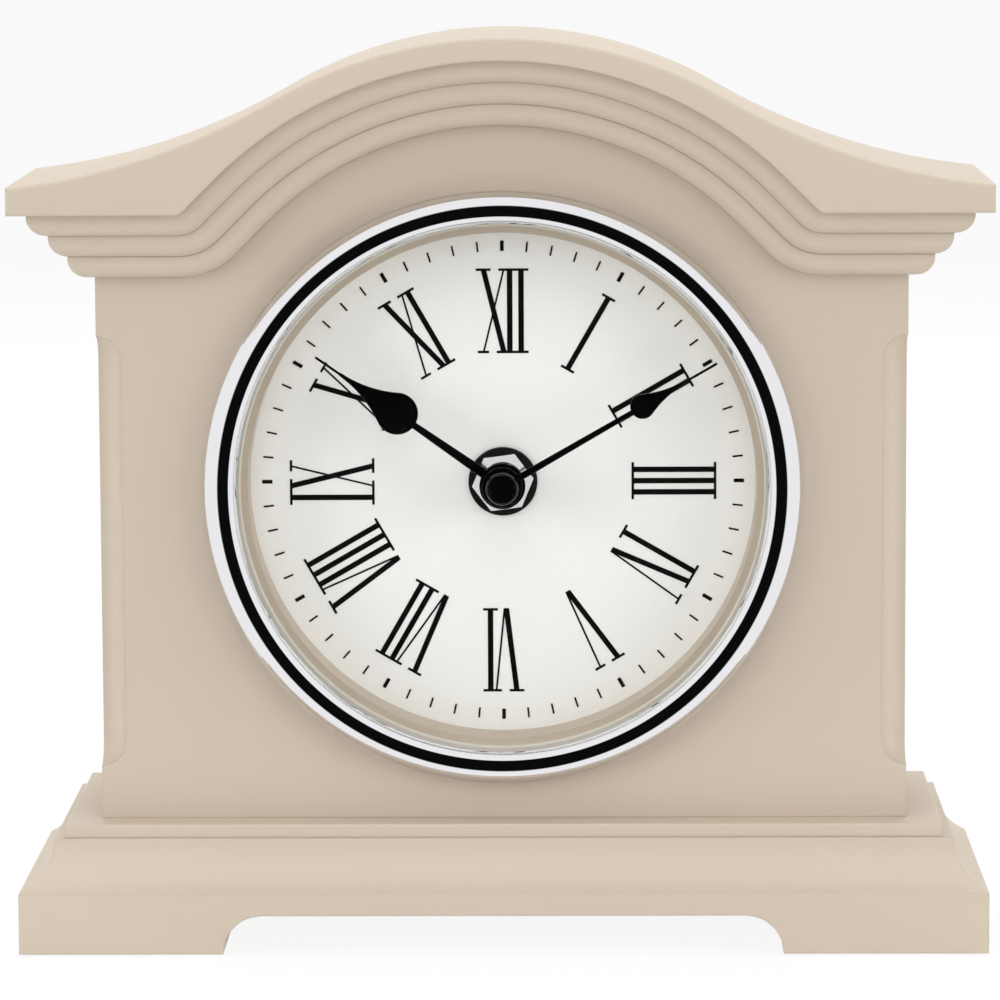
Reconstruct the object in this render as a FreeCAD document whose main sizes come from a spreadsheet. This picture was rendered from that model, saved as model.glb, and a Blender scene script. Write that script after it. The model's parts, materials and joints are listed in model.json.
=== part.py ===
import FreeCAD, Part

import math
import os

import Sketcher
from FreeCAD import Rotation, Vector

# A painted wooden mantel clock with an arched top, a round glazed dial and a
# quartz movement.  Millimetres and degrees.  +Z is up, the dial faces -Y, and the
# origin lies on the table under the middle of the clock.

SIZES = (
    # Whole clock
    ("overall_width", 195.0, "width over the crown board"),
    ("overall_depth", 70.0, "crown front to the back of the base"),
    ("overall_height", 183.9, "table to the top of the arch"),
    ("dial_height", 93.2, "table to the centre of the dial"),
    # Crown board
    ("crown_top_radius", 88.5, "round of the top of the arch"),
    ("crown_top_sweep", 30.0, "half angle of that round, degrees"),
    ("crown_flare_radius", 133.5, "hollow round that runs out to the ends"),
    ("crown_board_thickness", 4.5, "crown board at the top of the arch"),
    ("crown_edge_round", 0.6, "softened edges of the crown board"),
    # Stepped mouldings under the crown board
    ("arch_radius", 80.0, "underside of the crown board, round part"),
    ("arch_heel_radius", 2.0, "hollow at the foot of that arch"),
    ("arch_shoulder_drop", 34.6, "top of the arch to the underside of the crown board, level part"),
    ("moulding_thickness", 4.45, "thickness of each stepped moulding"),
    ("moulding_round", 4.0, "quarter round on each moulding"),
    ("upper_step", 3.7, "crown board to the upper moulding"),
    ("middle_step", 3.9, "upper to middle moulding"),
    ("lower_step", 3.5, "middle to lower moulding"),
    ("case_front_step", 5.6, "lower moulding to the case front"),
    ("case_side_step", 4.9, "lower moulding to the case side"),
    # Case
    ("front_board_thickness", 9.6, "front board"),
    ("case_wall", 9.0, "side boards and arched top frame"),
    ("base_tail", 8.0, "base stands out behind the case"),
    ("corner_cove_radius", 5.0, "hollow along each front corner"),
    ("corner_cove_start", 15.9, "case bottom to the straight part of the hollow"),
    ("corner_cove_length", 77.3, "straight part of the hollow"),
    ("window_radius", 51.3, "round window in the front board"),
    ("corner_block_size", 10.0, "glue blocks in the corners of the case"),
    # Base
    ("foot_pad_radius", 6.0, "round pads under the base"),
    ("foot_pad_thickness", 1.0, "pads"),
    ("foot_pad_recess", 0.5, "pads let into the base"),
    ("foot_pad_inset", 10.0, "pad centre to the end of the base"),
    ("base_width", 194.8, "base block"),
    ("base_front_inset", 2.2, "base front behind the crown front"),
    ("base_block_height", 22.35, "base block"),
    ("base_cove_radius", 11.0, "hollow moulding of the base"),
    ("base_cove_depth", 6.8, "how far that hollow draws in"),
    ("base_gap_width", 112.6, "recess under the base"),
    ("base_gap_height", 7.8, "height of that recess and of its rounded ends"),
    ("slab_thickness", 2.75, "slab between base and case"),
    ("slab_side_inset", 2.05, "slab end inside the neck of the base"),
    ("slab_front_inset", 0.6, "slab front behind the neck of the base"),
    ("slab_back_inset", 1.6, "slab back before the back of the base"),
    ("slab_edge_round", 0.5, "softened edges of the slab"),
    ("plinth_screw_radius", 2.0, "screws from the base into the side boards"),
    ("plinth_screw_head_radius", 3.6, "their heads"),
    ("plinth_screw_head_height", 2.0, "their heads"),
    ("plinth_screw_bite", 14.0, "length in the side board"),
    ("plinth_screw_sink", 7.5, "depth of the head in the base"),
    ("plinth_screw_spacing", 17.0, "between the two screws of a side"),
    # Bezel, glass and gasket
    ("bezel_radius", 59.85, "outside of the bezel ring"),
    ("bezel_lip_radius", 53.4, "inner edge of the lip over the glass"),
    ("bezel_crest_radius", 55.7, "highest round of the bezel"),
    ("bezel_outer_round", 5.2, "round of the bezel outside its crest"),
    ("bezel_crest_rise", 1.7, "crest in front of the lip"),
    ("bezel_lip_thickness", 0.5, "lip over the glass"),
    ("bezel_pin_radius", 1.0, "pins behind the bezel"),
    ("bezel_pin_length", 4.0, "pins behind the bezel"),
    ("bezel_pin_ring", 56.8, "ring on which the pins stand"),
    ("pin_fit", 0.05, "pin to its hole, each side"),
    ("glass_radius", 54.4, "domed glass"),
    ("glass_fit", 0.1, "glass edge to the bezel, each side"),
    ("glass_thickness", 2.0, "domed glass"),
    ("glass_rise", 7.0, "rise of the dome"),
    ("gasket_thickness", 1.2, "gasket between glass and front board"),
    ("gasket_width", 1.7, "gasket ring"),
    # Dial
    ("dial_radius", 56.0, "dial plate"),
    ("dial_thickness", 0.8, "dial plate"),
    ("backing_radius", 61.0, "hardboard behind the dial"),
    ("backing_thickness", 3.0, "hardboard behind the dial"),
    ("backing_screw_ring", 58.5, "ring of its screws"),
    ("backing_screw_turn", 45.0, "first of its screws, degrees from +X"),
    ("backing_screw_radius", 1.4, "its screws"),
    ("backing_screw_head_radius", 2.6, "their heads"),
    ("backing_screw_head_height", 1.4, "their heads"),
    ("backing_screw_length", 9.0, "under the head"),
    ("print_thickness", 0.08, "raised print on the dial"),
    ("minute_ring_radius", 47.9, "middle of the ring of marks"),
    ("minute_mark_length", 2.1, "minute mark"),
    ("minute_mark_width", 0.37, "minute mark"),
    ("hour_mark_width", 0.75, "mark at each hour"),
    ("numeral_foot_radius", 26.1, "foot of the numerals"),
    ("numeral_height", 17.2, "numerals"),
    ("numeral_stroke", 1.1, "thick stroke"),
    ("numeral_hairline", 0.38, "thin stroke"),
    ("numeral_serif", 0.5, "height of the serif bars"),
    ("numeral_serif_reach", 0.95, "serif bar past its stroke"),
    ("numeral_pitch", 2.3, "between the strokes of an I"),
    ("numeral_vee_width", 4.2, "V and X between their stroke ends"),
    # Nut, bushing and hands
    ("washer_radius", 7.0, "black washer on the dial"),
    ("washer_thickness", 0.8, "black washer"),
    ("nut_flats", 10.9, "hexagon nut across its flats"),
    ("nut_thickness", 2.5, "hexagon nut"),
    ("nut_chamfer_radius", 5.3, "flat face of the nut"),
    ("nut_turn", 7.5, "how far the nut is turned, degrees"),
    ("bushing_radius", 3.9, "threaded bushing"),
    ("bushing_rise", 5.3, "bushing in front of the dial"),
    ("bushing_hole_fit", 0.1, "bushing to the dial and its backing, each side"),
    ("running_fit", 0.08, "turning pieces to what they turn in, each side"),
    ("arbor_radius", 1.75, "minute arbor"),
    ("pipe_wall", 0.67, "wall of the hour pipe"),
    ("pipe_rise", 9.2, "hour pipe in front of the dial"),
    ("arbor_rise", 12.4, "minute arbor in front of the dial"),
    ("hand_thickness", 0.4, "both hands"),
    ("hour_hand_rise", 8.4, "hour hand in front of the dial"),
    ("minute_hand_rise", 10.3, "minute hand in front of the dial"),
    ("hour_hand_hub", 4.65, "hour hand hub radius"),
    ("hour_hand_length", 45.8, "hour hand"),
    ("hour_hand_bulb_place", 25.8, "axis to the bulb of the hour hand"),
    ("hour_hand_bulb_radius", 4.25, "bulb of the hour hand"),
    ("hour_hand_taper", 14.2, "bulb to the end of its taper"),
    ("hour_hand_neck", 1.2, "arm at the bulb"),
    ("hour_hand_root", 2.2, "arm at the hub"),
    ("hour_hand_point", 0.7, "width where the taper ends"),
    ("hour_hand_angle", 305.0, "rest angle past twelve, degrees"),
    ("minute_hand_hub", 4.1, "minute hand hub radius"),
    ("minute_hand_length", 49.9, "minute hand"),
    ("minute_hand_bulb_place", 32.6, "axis to the bulb of the minute hand"),
    ("minute_hand_bulb_radius", 2.5, "bulb of the minute hand"),
    ("minute_hand_taper", 9.8, "bulb to the end of its taper"),
    ("minute_hand_neck", 1.0, "arm at the bulb"),
    ("minute_hand_root", 1.5, "arm at the hub"),
    ("minute_hand_point", 0.65, "width where the taper ends"),
    ("minute_hand_angle", 60.0, "rest angle past twelve, degrees"),
    ("hand_tip_width", 0.5, "tip of both hands"),
    ("cap_radius", 3.3, "cap over the arbor"),
    ("cap_gap", 0.6, "minute hand to the cap"),
    ("cap_height", 2.5, "cap"),
    ("cap_round", 0.6, "softened front edge of the cap"),
    # Back panel and rear door
    ("panel_thickness", 3.0, "back panel and rear door"),
    ("panel_fit", 0.2, "back panel to the case, each side"),
    ("panel_screw_radius", 1.5, "brass screws of the back panel"),
    ("panel_screw_head_radius", 2.8, "their heads"),
    ("panel_screw_head_height", 1.2, "their heads"),
    ("panel_screw_length", 13.0, "under the head"),
    ("doorway_width", 81.0, "opening in the back panel"),
    ("doorway_height", 75.0, "opening in the back panel"),
    ("doorway_sill", 55.0, "table to the lower edge of the opening"),
    ("door_fit", 0.5, "rear door to the opening, each side"),
    ("hinge_length", 14.0, "each hinge"),
    ("hinge_inset", 8.0, "hinge to the upper or lower edge of the opening"),
    ("hinge_leaf_thickness", 0.8, "leaves"),
    ("hinge_leaf_width", 8.0, "leaves"),
    ("hinge_knuckle_radius", 1.4, "knuckles"),
    ("hinge_pin_radius", 0.7, "pins"),
    ("hinge_gap", 0.2, "between knuckles, and knuckle to leaf"),
    ("knob_radius", 4.0, "door knob"),
    ("knob_neck_radius", 2.0, "door knob"),
    ("knob_height", 6.5, "door knob"),
    ("knob_inset", 7.0, "knob centre to the free edge of the door"),
    ("strike_thickness", 0.8, "steel plate inside the door"),
    ("strike_size", 8.0, "width and height of that plate"),
    ("catch_gap", 0.3, "magnet to the steel plate"),
    ("catch_depth", 4.0, "catch holder"),
    ("catch_height", 12.0, "catch holder"),
    ("catch_reach", 10.0, "catch holder past the edge of the opening, each way"),
    ("magnet_radius", 3.0, "catch magnet"),
    ("magnet_depth", 2.4, "catch magnet"),
    ("catch_screw_radius", 1.0, "screw of the catch"),
    ("catch_screw_head_radius", 2.0, "its head"),
    ("catch_screw_head_height", 0.8, "its head"),
    # Movement
    ("movement_width", 58.0, "movement housing"),
    ("movement_drop", 31.0, "dial centre to the bottom of the movement"),
    ("movement_rise", 29.0, "dial centre to the top of the movement"),
    ("movement_depth", 16.2, "movement"),
    ("movement_wall", 1.2, "walls and front cover"),
    ("battery_radius", 7.25, "battery"),
    ("battery_length", 49.3, "battery without its nub"),
    ("battery_nub_radius", 2.6, "nub"),
    ("battery_nub_length", 1.2, "nub"),
    ("slide_fit", 0.1, "battery to its contacts, button flange to the wall"),
    ("battery_fit", 0.4, "battery to its bay, each side"),
    ("contact_thickness", 0.4, "contact plates"),
    ("spring_radius", 4.0, "contact spring at its plate"),
    ("spring_tip_radius", 2.2, "contact spring at the battery"),
    ("wheel_gap", 0.2, "between neighbouring layers of wheels"),
    ("hour_wheel_thickness", 1.0, "hour wheel and the pinion that drives it"),
    ("cannon_thickness", 0.9, "minute-work wheel and the pinion that drives it"),
    ("plate_thickness", 1.0, "movement plate"),
    ("minute_wheel_thickness", 1.0, "minute wheel and the pinion that drives it"),
    ("rotor_wheel_thickness", 0.8, "intermediate wheel and the rotor pinion"),
    ("cannon_module", 0.5, "tooth size of the minute-work wheel"),
    ("minute_module", 0.4, "tooth size of the minute wheel"),
    ("rotor_module", 0.3, "tooth size of the intermediate wheel"),
    ("rotor_direction", 30.0, "where the rotor lies about the intermediate, degrees"),
    ("post_radius", 0.8, "posts of the wheels"),
    ("rotor_shaft_radius", 0.5, "rotor shaft"),
    ("magnet_rotor_radius", 3.0, "rotor magnet"),
    ("magnet_rotor_length", 2.6, "rotor magnet"),
    ("stator_gap", 0.4, "rotor magnet to the stator, each side"),
    ("stator_thickness", 1.2, "stator"),
    ("stator_bar", 3.2, "bars of the stator"),
    ("stator_eye", 1.0, "metal around the rotor in the stator"),
    ("stator_reach", 26.0, "rotor to the far end of the stator"),
    ("stator_window", 2.8, "window of the stator"),
    ("stator_post_radius", 1.2, "posts under the stator"),
    ("coil_length", 16.0, "coil bobbin"),
    ("coil_wall", 0.6, "coil bobbin"),
    ("coil_build", 0.8, "thickness of the winding"),
    ("board_thickness", 0.8, "circuit board"),
    ("board_place", 11.4, "front of the movement to the circuit board"),
    ("ferrite_radius", 1.0, "ferrite rod"),
    ("ferrite_length", 46.0, "ferrite rod"),
    ("antenna_build", 0.3, "winding on the ferrite rod"),
    ("antenna_length", 20.0, "winding on the ferrite rod"),
    ("button_radius", 2.0, "set buttons"),
    ("button_rise", 1.2, "buttons behind the movement"),
    ("button_travel", 0.8, "stroke of the buttons"),
    ("button_height", 20.0, "dial centre to the buttons"),
    ("ferrite_height", 5.0, "dial centre to the ferrite rod"),
    ("chip_size", 6.0, "chip on the circuit board"),
    ("chip_thickness", 1.0, "chip on the circuit board"),
    ("chip_height", 14.0, "dial centre to the middle of the chip"),
    ("crystal_radius", 0.9, "crystal on the circuit board"),
    ("button_spread", 36.0, "between the two buttons"),
    ("button_flange", 0.8, "flange that keeps a button in"),
)

# Counts of teeth
HOUR_TEETH = 40
HOUR_PINION_TEETH = 10
CANNON_TEETH = 12
MINUTE_WORK_TEETH = 36
MINUTE_TEETH = 48
MINUTE_PINION_TEETH = 8
INTERMEDIATE_TEETH = 40
ROTOR_TEETH = 8

# How much of a tooth's pitch its metal takes at root, pitch circle and tip, and
# how far it reaches beyond and below the pitch circle, in modules
TOOTH_WIDTH_SHARES = (0.46, 0.34, 0.16)
TOOTH_RISE_SHARE = 0.85
TOOTH_DEPTH_SHARE = 1.2

# The cut of an outline runs on past the piece by this share of the piece
OVERRUN_SHARE = 0.25

UP = Vector(0, 0, 1)
DIAGONAL = math.sqrt(0.5)


class Size:
    """A number of the model together with the sheet formula that gives it."""

    def __init__(self, value, formula):
        self.value = value
        self.formula = formula

    def __add__(self, other):
        return merge(self, other, "+", self.value + plain(other))

    def __sub__(self, other):
        return merge(self, other, "-", self.value - plain(other))

    def __mul__(self, other):
        return merge(self, other, "*", self.value * plain(other))

    def __truediv__(self, other):
        return merge(self, other, "/", self.value / plain(other))

    def __rsub__(self, other):
        return merge(other, self, "-", plain(other) - self.value)

    def __neg__(self):
        return self * -1

    __radd__ = __add__
    __rmul__ = __mul__


def plain(size):
    """The bare number of a size."""
    return size.value if isinstance(size, Size) else float(size)


def formula(size):
    """The sheet formula of a size."""
    return size.formula if isinstance(size, Size) else f"({float(size)!r})"


def merge(left, right, sign, value):
    """The size that a sum or product of two sizes gives."""
    return Size(value, f"({formula(left)} {sign} {formula(right)})")


def root(size):
    """Square root of a size."""
    return Size(math.sqrt(plain(size)), f"sqrt({formula(size)})")


def sine(angle):
    """Sine of an angle in degrees."""
    return Size(math.sin(math.radians(plain(angle))), f"sin({formula(angle)} * 1 deg)")


def cosine(angle):
    """Cosine of an angle in degrees."""
    return Size(math.cos(math.radians(plain(angle))), f"cos({formula(angle)} * 1 deg)")


DOC = FreeCAD.newDocument("MantelClock")


class Sheet:
    """The spreadsheet of driving sizes, each read by its alias."""

    def __init__(self, rows):
        self.table = DOC.addObject("Spreadsheet::Sheet", "Sizes")
        for row, (alias, number, note) in enumerate(rows, start=1):
            self.table.set(f"A{row}", alias.replace("_", " "))
            self.table.set(f"B{row}", str(number))
            self.table.setAlias(f"B{row}", alias)
            self.table.set(f"C{row}", note)
        DOC.recompute()

    def __getattr__(self, alias):
        return Size(float(self.table.get(alias)), f"Sizes.{alias}")


S = Sheet(SIZES)
PARTS = []


def part(thing, label):
    """Marks an object of the document as a finished piece of the clock."""
    thing.Label = label
    PARTS.append(thing)
    return thing


def bind(thing, path, size):
    """Ties one property to the sheet."""
    thing.setExpression(path, formula(size))


def move(thing, x, y, z):
    """Places an object and ties its place to the sheet."""
    thing.Placement.Base = Vector(plain(x), plain(y), plain(z))
    for axis, size in zip("xyz", (x, y, z)):
        if isinstance(size, Size):
            bind(thing, f"Placement.Base.{axis}", size)


def turn(thing, axis, angle):
    """Turns an object about its own origin."""
    thing.Placement.Rotation = Rotation(axis, plain(angle))
    if isinstance(angle, Size):
        bind(thing, "Placement.Rotation.Angle", angle)


# Primitives


def block(name, low, high):
    """Box between two corners."""
    box = DOC.addObject("Part::Box", name)
    for edge, near, far in zip(("Length", "Width", "Height"), low, high):
        bind(box, edge, far - near)
    move(box, *low)
    return box


TOWARDS = {
    "x": Rotation(Vector(0, 1, 0), 90),
    "y": Rotation(Vector(1, 0, 0), -90),
    "z": Rotation(),
}


def rod(name, axis, start, radius, length):
    """Round bar that runs from start along +X, +Y or +Z."""
    bar = DOC.addObject("Part::Cylinder", name)
    bind(bar, "Radius", radius)
    bind(bar, "Height", length)
    bar.Placement.Rotation = TOWARDS[axis]
    move(bar, *start)
    return bar


def cone(name, axis, start, first, last, length):
    """Tapered round bar from start."""
    bar = DOC.addObject("Part::Cone", name)
    bind(bar, "Radius1", first)
    bind(bar, "Radius2", last)
    bind(bar, "Height", length)
    bar.Placement.Rotation = TOWARDS[axis]
    move(bar, *start)
    return bar


def ball(name, centre, radius):
    """Sphere."""
    globe = DOC.addObject("Part::Sphere", name)
    bind(globe, "Radius", radius)
    move(globe, *centre)
    return globe


def joined(name, *things):
    """One solid from several that meet."""
    whole = DOC.addObject("Part::MultiFuse", name)
    whole.Shapes = list(things)
    return whole


def less(name, thing, *tools):
    """A solid with others cut away."""
    tool = tools[0] if len(tools) == 1 else joined(name + "_tools", *tools)
    rest = DOC.addObject("Part::Cut", name)
    rest.Base = thing
    rest.Tool = tool
    return rest


def group(name, things):
    """Several separate solids that are one sub-part."""
    family = DOC.addObject("Part::Compound", name)
    family.Links = list(things)
    return family


# Sketched bodies


def new_body(name):
    return DOC.addObject("PartDesign::Body", name)


def sketch_on(body, name, role, offset):
    """Empty sketch on one of the body's own planes, moved along its normal."""
    sketch = body.newObject("Sketcher::SketchObject", name)
    plane = next(one for one in body.Origin.OriginFeatures if one.Role == role)
    sketch.AttachmentSupport = [(plane, "")]
    sketch.MapMode = "FlatFace"
    bind(sketch, "AttachmentOffset.Base.z", offset)
    return sketch


def pin_point(sketch, piece, end, across, along):
    """Ties a point of the sketch to its two coordinates."""
    for kind, size, axis in (("DistanceX", across, -2), ("DistanceY", along, -1)):
        if isinstance(size, Size) and abs(size.value) > 0:
            number = sketch.addConstraint(Sketcher.Constraint(kind, -1, 1, piece, end, size.value))
            sketch.setExpression(f"Constraints[{number}]", size.formula)
        else:
            sketch.addConstraint(Sketcher.Constraint("PointOnObject", piece, end, axis))


def draw_circle(sketch, across, along, radius):
    """Circle with its centre and radius tied to the sheet."""
    centre = Vector(plain(across), plain(along), 0)
    piece = sketch.addGeometry(Part.Circle(centre, UP, plain(radius)), False)
    pin_point(sketch, piece, 3, across, along)
    number = sketch.addConstraint(Sketcher.Constraint("Radius", piece, plain(radius)))
    sketch.setExpression(f"Constraints[{number}]", formula(radius))


def draw_outline(sketch, steps):
    """Closed outline.  A step is the corner that a straight stretch runs to, or that
    corner with the centre of the round stretch, under half a turn, that leads there."""
    before = steps[-1]
    ends = []
    for step in steps:
        start = Vector(plain(before[0]), plain(before[1]), 0)
        stop = Vector(plain(step[0]), plain(step[1]), 0)
        if len(step) == 2:
            piece = sketch.addGeometry(Part.LineSegment(start, stop), False)
            ends.append((piece, 1, 2))
        else:
            centre = Vector(plain(step[2]), plain(step[3]), 0)
            first = start - centre
            second = stop - centre
            leftwards = first.cross(second).z > 0
            if not leftwards:
                first, second = second, first
            circle = Part.Circle(centre, UP, first.Length)
            arc = Part.ArcOfCircle(circle, math.atan2(first.y, first.x), math.atan2(second.y, second.x))
            piece = sketch.addGeometry(arc, False)
            ends.append((piece, 1, 2) if leftwards else (piece, 2, 1))
            across = step[0] - step[2]
            along = step[1] - step[3]
            reach = root(across * across + along * along)
            number = sketch.addConstraint(Sketcher.Constraint("Radius", piece, reach.value))
            sketch.setExpression(f"Constraints[{number}]", reach.formula)
        pin_point(sketch, piece, ends[-1][2], step[0], step[1])
        before = step
    for one, other in zip(ends, ends[1:] + ends[:1]):
        sketch.addConstraint(Sketcher.Constraint("Coincident", one[0], one[2], other[0], other[1]))


PLANES = {"x": "YZ_Plane", "y": "XZ_Plane", "z": "XY_Plane"}


def draw(sketch, outline):
    """Draws an outline, or the circles of a list of (across, along, radius)."""
    if isinstance(outline, dict):
        for across, along, radius in outline["circles"]:
            draw_circle(sketch, across, along, radius)
    else:
        draw_outline(sketch, outline)


def circles(*rounds):
    """Outline that is made of whole circles."""
    return {"circles": rounds}


def add_slice(body, name, axis, outline, low, high):
    """Adds the outline's slice between two depths along X, Y or Z."""
    plane_depth = -high if axis == "y" else low
    sketch = sketch_on(body, name + "_sketch", PLANES[axis], plane_depth)
    draw(sketch, outline)
    pad = body.newObject("PartDesign::Pad", name)
    pad.Profile = sketch
    bind(pad, "Length", high - low)
    return pad


def cut_slice(body, name, axis, outline, low, high):
    """Cuts the outline's slice between two depths along X, Y or Z."""
    plane_depth = -low if axis == "y" else high
    sketch = sketch_on(body, name + "_sketch", PLANES[axis], plane_depth)
    draw(sketch, outline)
    DOC.recompute()
    before = body.Shape.Volume
    pocket = body.newObject("PartDesign::Pocket", name)
    pocket.Profile = sketch
    bind(pocket, "Length", high - low)
    DOC.recompute()
    if not body.Shape.Volume < before:
        raise RuntimeError(f"{name} cuts nothing")
    return pocket


def slice_body(name, axis, outline, low, high):
    """New body that is one slice of an outline."""
    body = new_body(name)
    add_slice(body, name + "_slice", axis, outline, low, high)
    return body


def turned_body(name, outline, height):
    """New body turned about the axis that runs front to back at a height.
    The outline holds radius and depth."""
    body = new_body(name)
    sketch = sketch_on(body, name + "_profile", "XY_Plane", 0)
    draw(sketch, outline)
    lathe = body.newObject("PartDesign::Revolution", name + "_turning")
    lathe.Profile = sketch
    lathe.ReferenceAxis = (sketch, ["V_Axis"])
    lathe.Angle = 360
    move(body, 0, 0, height)
    return body


def rectangle(left, right, low, high):
    """Outline of a rectangle."""
    return [(right, low), (right, high), (left, high), (left, low)]


def backwards(start, steps):
    """The same stretches of an outline, run through from their end to their start."""
    corners = [start] + [step[:2] for step in steps]
    return [tuple(corners[place]) + tuple(steps[place][2:]) for place in reversed(range(len(steps)))]


def down_edges(shape, is_wanted):
    """Names of the edges between a face that looks down and one that doesn't."""
    names = []
    for number, edge in enumerate(shape.Edges, start=1):
        middle = edge.valueAt((edge.FirstParameter + edge.LastParameter) / 2)
        looks = []
        for face in shape.ancestorsOfType(edge, Part.Face):
            looks.append(face.normalAt(*face.Surface.parameter(middle)).z < -DIAGONAL / 2)
        if sum(looks) == 1 and is_wanted(middle):
            names.append(f"Edge{number}")
    return names


def edges_where(shape, is_wanted):
    """Names of the edges whose middle passes a test."""
    names = []
    for number, edge in enumerate(shape.Edges, start=1):
        if is_wanted(edge.valueAt((edge.FirstParameter + edge.LastParameter) / 2)):
            names.append(f"Edge{number}")
    return names


def round_edges(body, name, names, radius):
    """Rounds edges of a body's newest feature."""
    fillet = body.newObject("PartDesign::Fillet", name)
    fillet.Base = (body.Group[-2], names)
    bind(fillet, "Radius", radius)
    DOC.recompute()
    return fillet


def near(first, second):
    """Whether two plain lengths are the same."""
    return math.isclose(first, plain(second), abs_tol=1e-4)


def step_along(point, axis, amount):
    """A point moved along one axis."""
    return tuple(size + amount if one == axis else size for one, size in zip("xyz", point))


def screw(name, axis, seat, radius, length, head_radius, head_height, inwards):
    """Screw whose head sits at a point.  Returns the screw and its shank, which also
    cuts its hole."""
    if inwards > 0:
        shank = rod(name + "_shank", axis, seat, radius, length)
        head = rod(name + "_head", axis, step_along(seat, axis, -head_height), head_radius, head_height)
    else:
        shank = rod(name + "_shank", axis, step_along(seat, axis, -length), radius, length)
        head = rod(name + "_head", axis, seat, head_radius, head_height)
    return joined(name, shank, head), shank


# Places that several pieces share

half_width = S.overall_width / 2
crown_front = -S.overall_depth / 2
base_back = S.overall_depth / 2
case_back = base_back - S.base_tail
upper_front = crown_front + S.upper_step
middle_front = upper_front + S.middle_step
lower_front = middle_front + S.lower_step
case_front = lower_front + S.case_front_step
upper_reach = half_width - S.upper_step
middle_reach = upper_reach - S.middle_step
lower_reach = middle_reach - S.lower_step
case_reach = lower_reach - S.case_side_step
board_back = case_front + S.front_board_thickness
base_bottom = S.foot_pad_thickness - S.foot_pad_recess
neck_height = base_bottom + S.base_block_height
case_bottom = neck_height + S.slab_thickness
arch_centre = S.overall_height - S.crown_board_thickness - S.arch_radius
shoulder_height = S.overall_height - S.arch_shoulder_drop
heel_height = shoulder_height + S.arch_heel_radius
heel_place = (S.arch_radius + S.arch_heel_radius) * DIAGONAL * 2 - (heel_height - arch_centre)
overrun = S.overall_depth * OVERRUN_SHARE
upper_drop = S.moulding_thickness
middle_drop = S.moulding_thickness * 2
case_drop = S.moulding_thickness * 3
frame_drop = case_drop + S.case_wall


# Arched pieces: every curve of the arch is the underside of the crown board moved
# inwards by a drop, so round, straight and hollow stretches stay tangent


def arch_path(drop, reach):
    """One curve of the arch from its right end to its left end."""
    round_radius = S.arch_radius - drop
    heel_radius = S.arch_heel_radius + drop
    level = shoulder_height - drop
    heel = (heel_place - heel_radius * DIAGONAL, heel_height - heel_radius * DIAGONAL)
    spring = (round_radius * DIAGONAL, arch_centre + round_radius * DIAGONAL)
    steps = [
        (heel_place, level),
        (*heel, heel_place, heel_height),
        spring,
        (-spring[0], spring[1], 0, arch_centre),
        (-heel[0], heel[1]),
        (-heel_place, level, -heel_place, heel_height),
        (-reach, level),
    ]
    return (reach, level), steps


def crown_path():
    """Top of the crown board: a round that flares out through a hollow on each side."""
    centre = S.overall_height - S.crown_top_radius
    across = sine(S.crown_top_sweep)
    along = cosine(S.crown_top_sweep)
    spread = S.crown_top_radius + S.crown_flare_radius
    flare = (spread * across, centre + spread * along)
    meeting = (S.crown_top_radius * across, centre + S.crown_top_radius * along)
    run = flare[0] - half_width
    tip = flare[1] - root(S.crown_flare_radius * S.crown_flare_radius - run * run)
    steps = [
        (*meeting, *flare),
        (-meeting[0], meeting[1], 0, centre),
        (-half_width, tip, -flare[0], flare[1]),
    ]
    return (half_width, tip), steps


def band(upper, lower):
    """Outline between an upper and a lower path."""
    start, steps = upper
    foot, foot_steps = lower
    return [start] + steps + [foot_steps[-1][:2]] + backwards(foot, foot_steps)


def make_crown_board():
    """Flared crown board that carries the whole outline of the clock."""
    outline = band(crown_path(), arch_path(0, half_width))
    body = slice_body("crown_board_body", "y", outline, crown_front, case_back)
    DOC.recompute()
    names = edges_where(body.Shape, lambda middle: near(middle.y, crown_front))
    round_edges(body, "crown_board_edges", names, S.crown_edge_round)
    return part(body, "crown_board")


def make_moulding(label, drop, front, reach):
    """Stepped moulding that follows the arch, with a quarter round along its lower
    front edge and its lower end edges."""
    outline = band(arch_path(drop - S.moulding_thickness, reach), arch_path(drop, reach))
    body = slice_body(label + "_body", "y", outline, front, case_back)
    DOC.recompute()
    names = down_edges(body.Shape, lambda middle: not near(middle.y, case_back))
    round_edges(body, label + "_round", names, S.moulding_round)
    return part(body, label)


def make_arch_frame():
    """Top of the case, bent to the arch."""
    outline = band(arch_path(case_drop, case_reach), arch_path(frame_drop, case_reach))
    body = slice_body("arch_frame_body", "y", outline, board_back, case_back)
    return part(body, "arch_frame")


make_crown_board()
make_moulding("moulding_upper", upper_drop, upper_front, upper_reach)
make_moulding("moulding_middle", middle_drop, middle_front, middle_reach)
make_moulding("moulding_lower", case_drop, lower_front, lower_reach)
make_arch_frame()

# Case

BEZEL_PIN_ANGLES = (90, 210, 330)

frame_level = shoulder_height - frame_drop
case_inside = case_reach - S.case_wall
panel_front = case_back - S.panel_thickness
dial_back = board_back + S.dial_thickness
backing_back = dial_back + S.backing_thickness
sides = (1, -1)


def around(radius, angle):
    """Point of a ring about the dial axis; the angle runs from +X towards +Z."""
    return radius * cosine(angle), S.dial_height + radius * sine(angle)


def case_outline(drop, reach, floor):
    """Arched outline that stands on a level floor."""
    start, steps = arch_path(drop, reach)
    return [start] + steps + [(-reach, floor), (reach, floor)]


def make_backing_screws():
    """Four screws that hold the hardboard and the dial to the front board."""
    screws = []
    shanks = []
    for number in range(4):
        across, height = around(S.backing_screw_ring, S.backing_screw_turn + 90 * number)
        one, shank = screw(
            f"backing_screw_{number}", "y", (across, backing_back, height),
            S.backing_screw_radius, S.backing_screw_length,
            S.backing_screw_head_radius, S.backing_screw_head_height, -1,
        )
        screws.append(one)
        shanks.append(shank)
    part(group("backing_screws_group", screws), "backing_screws")
    return shanks


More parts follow.
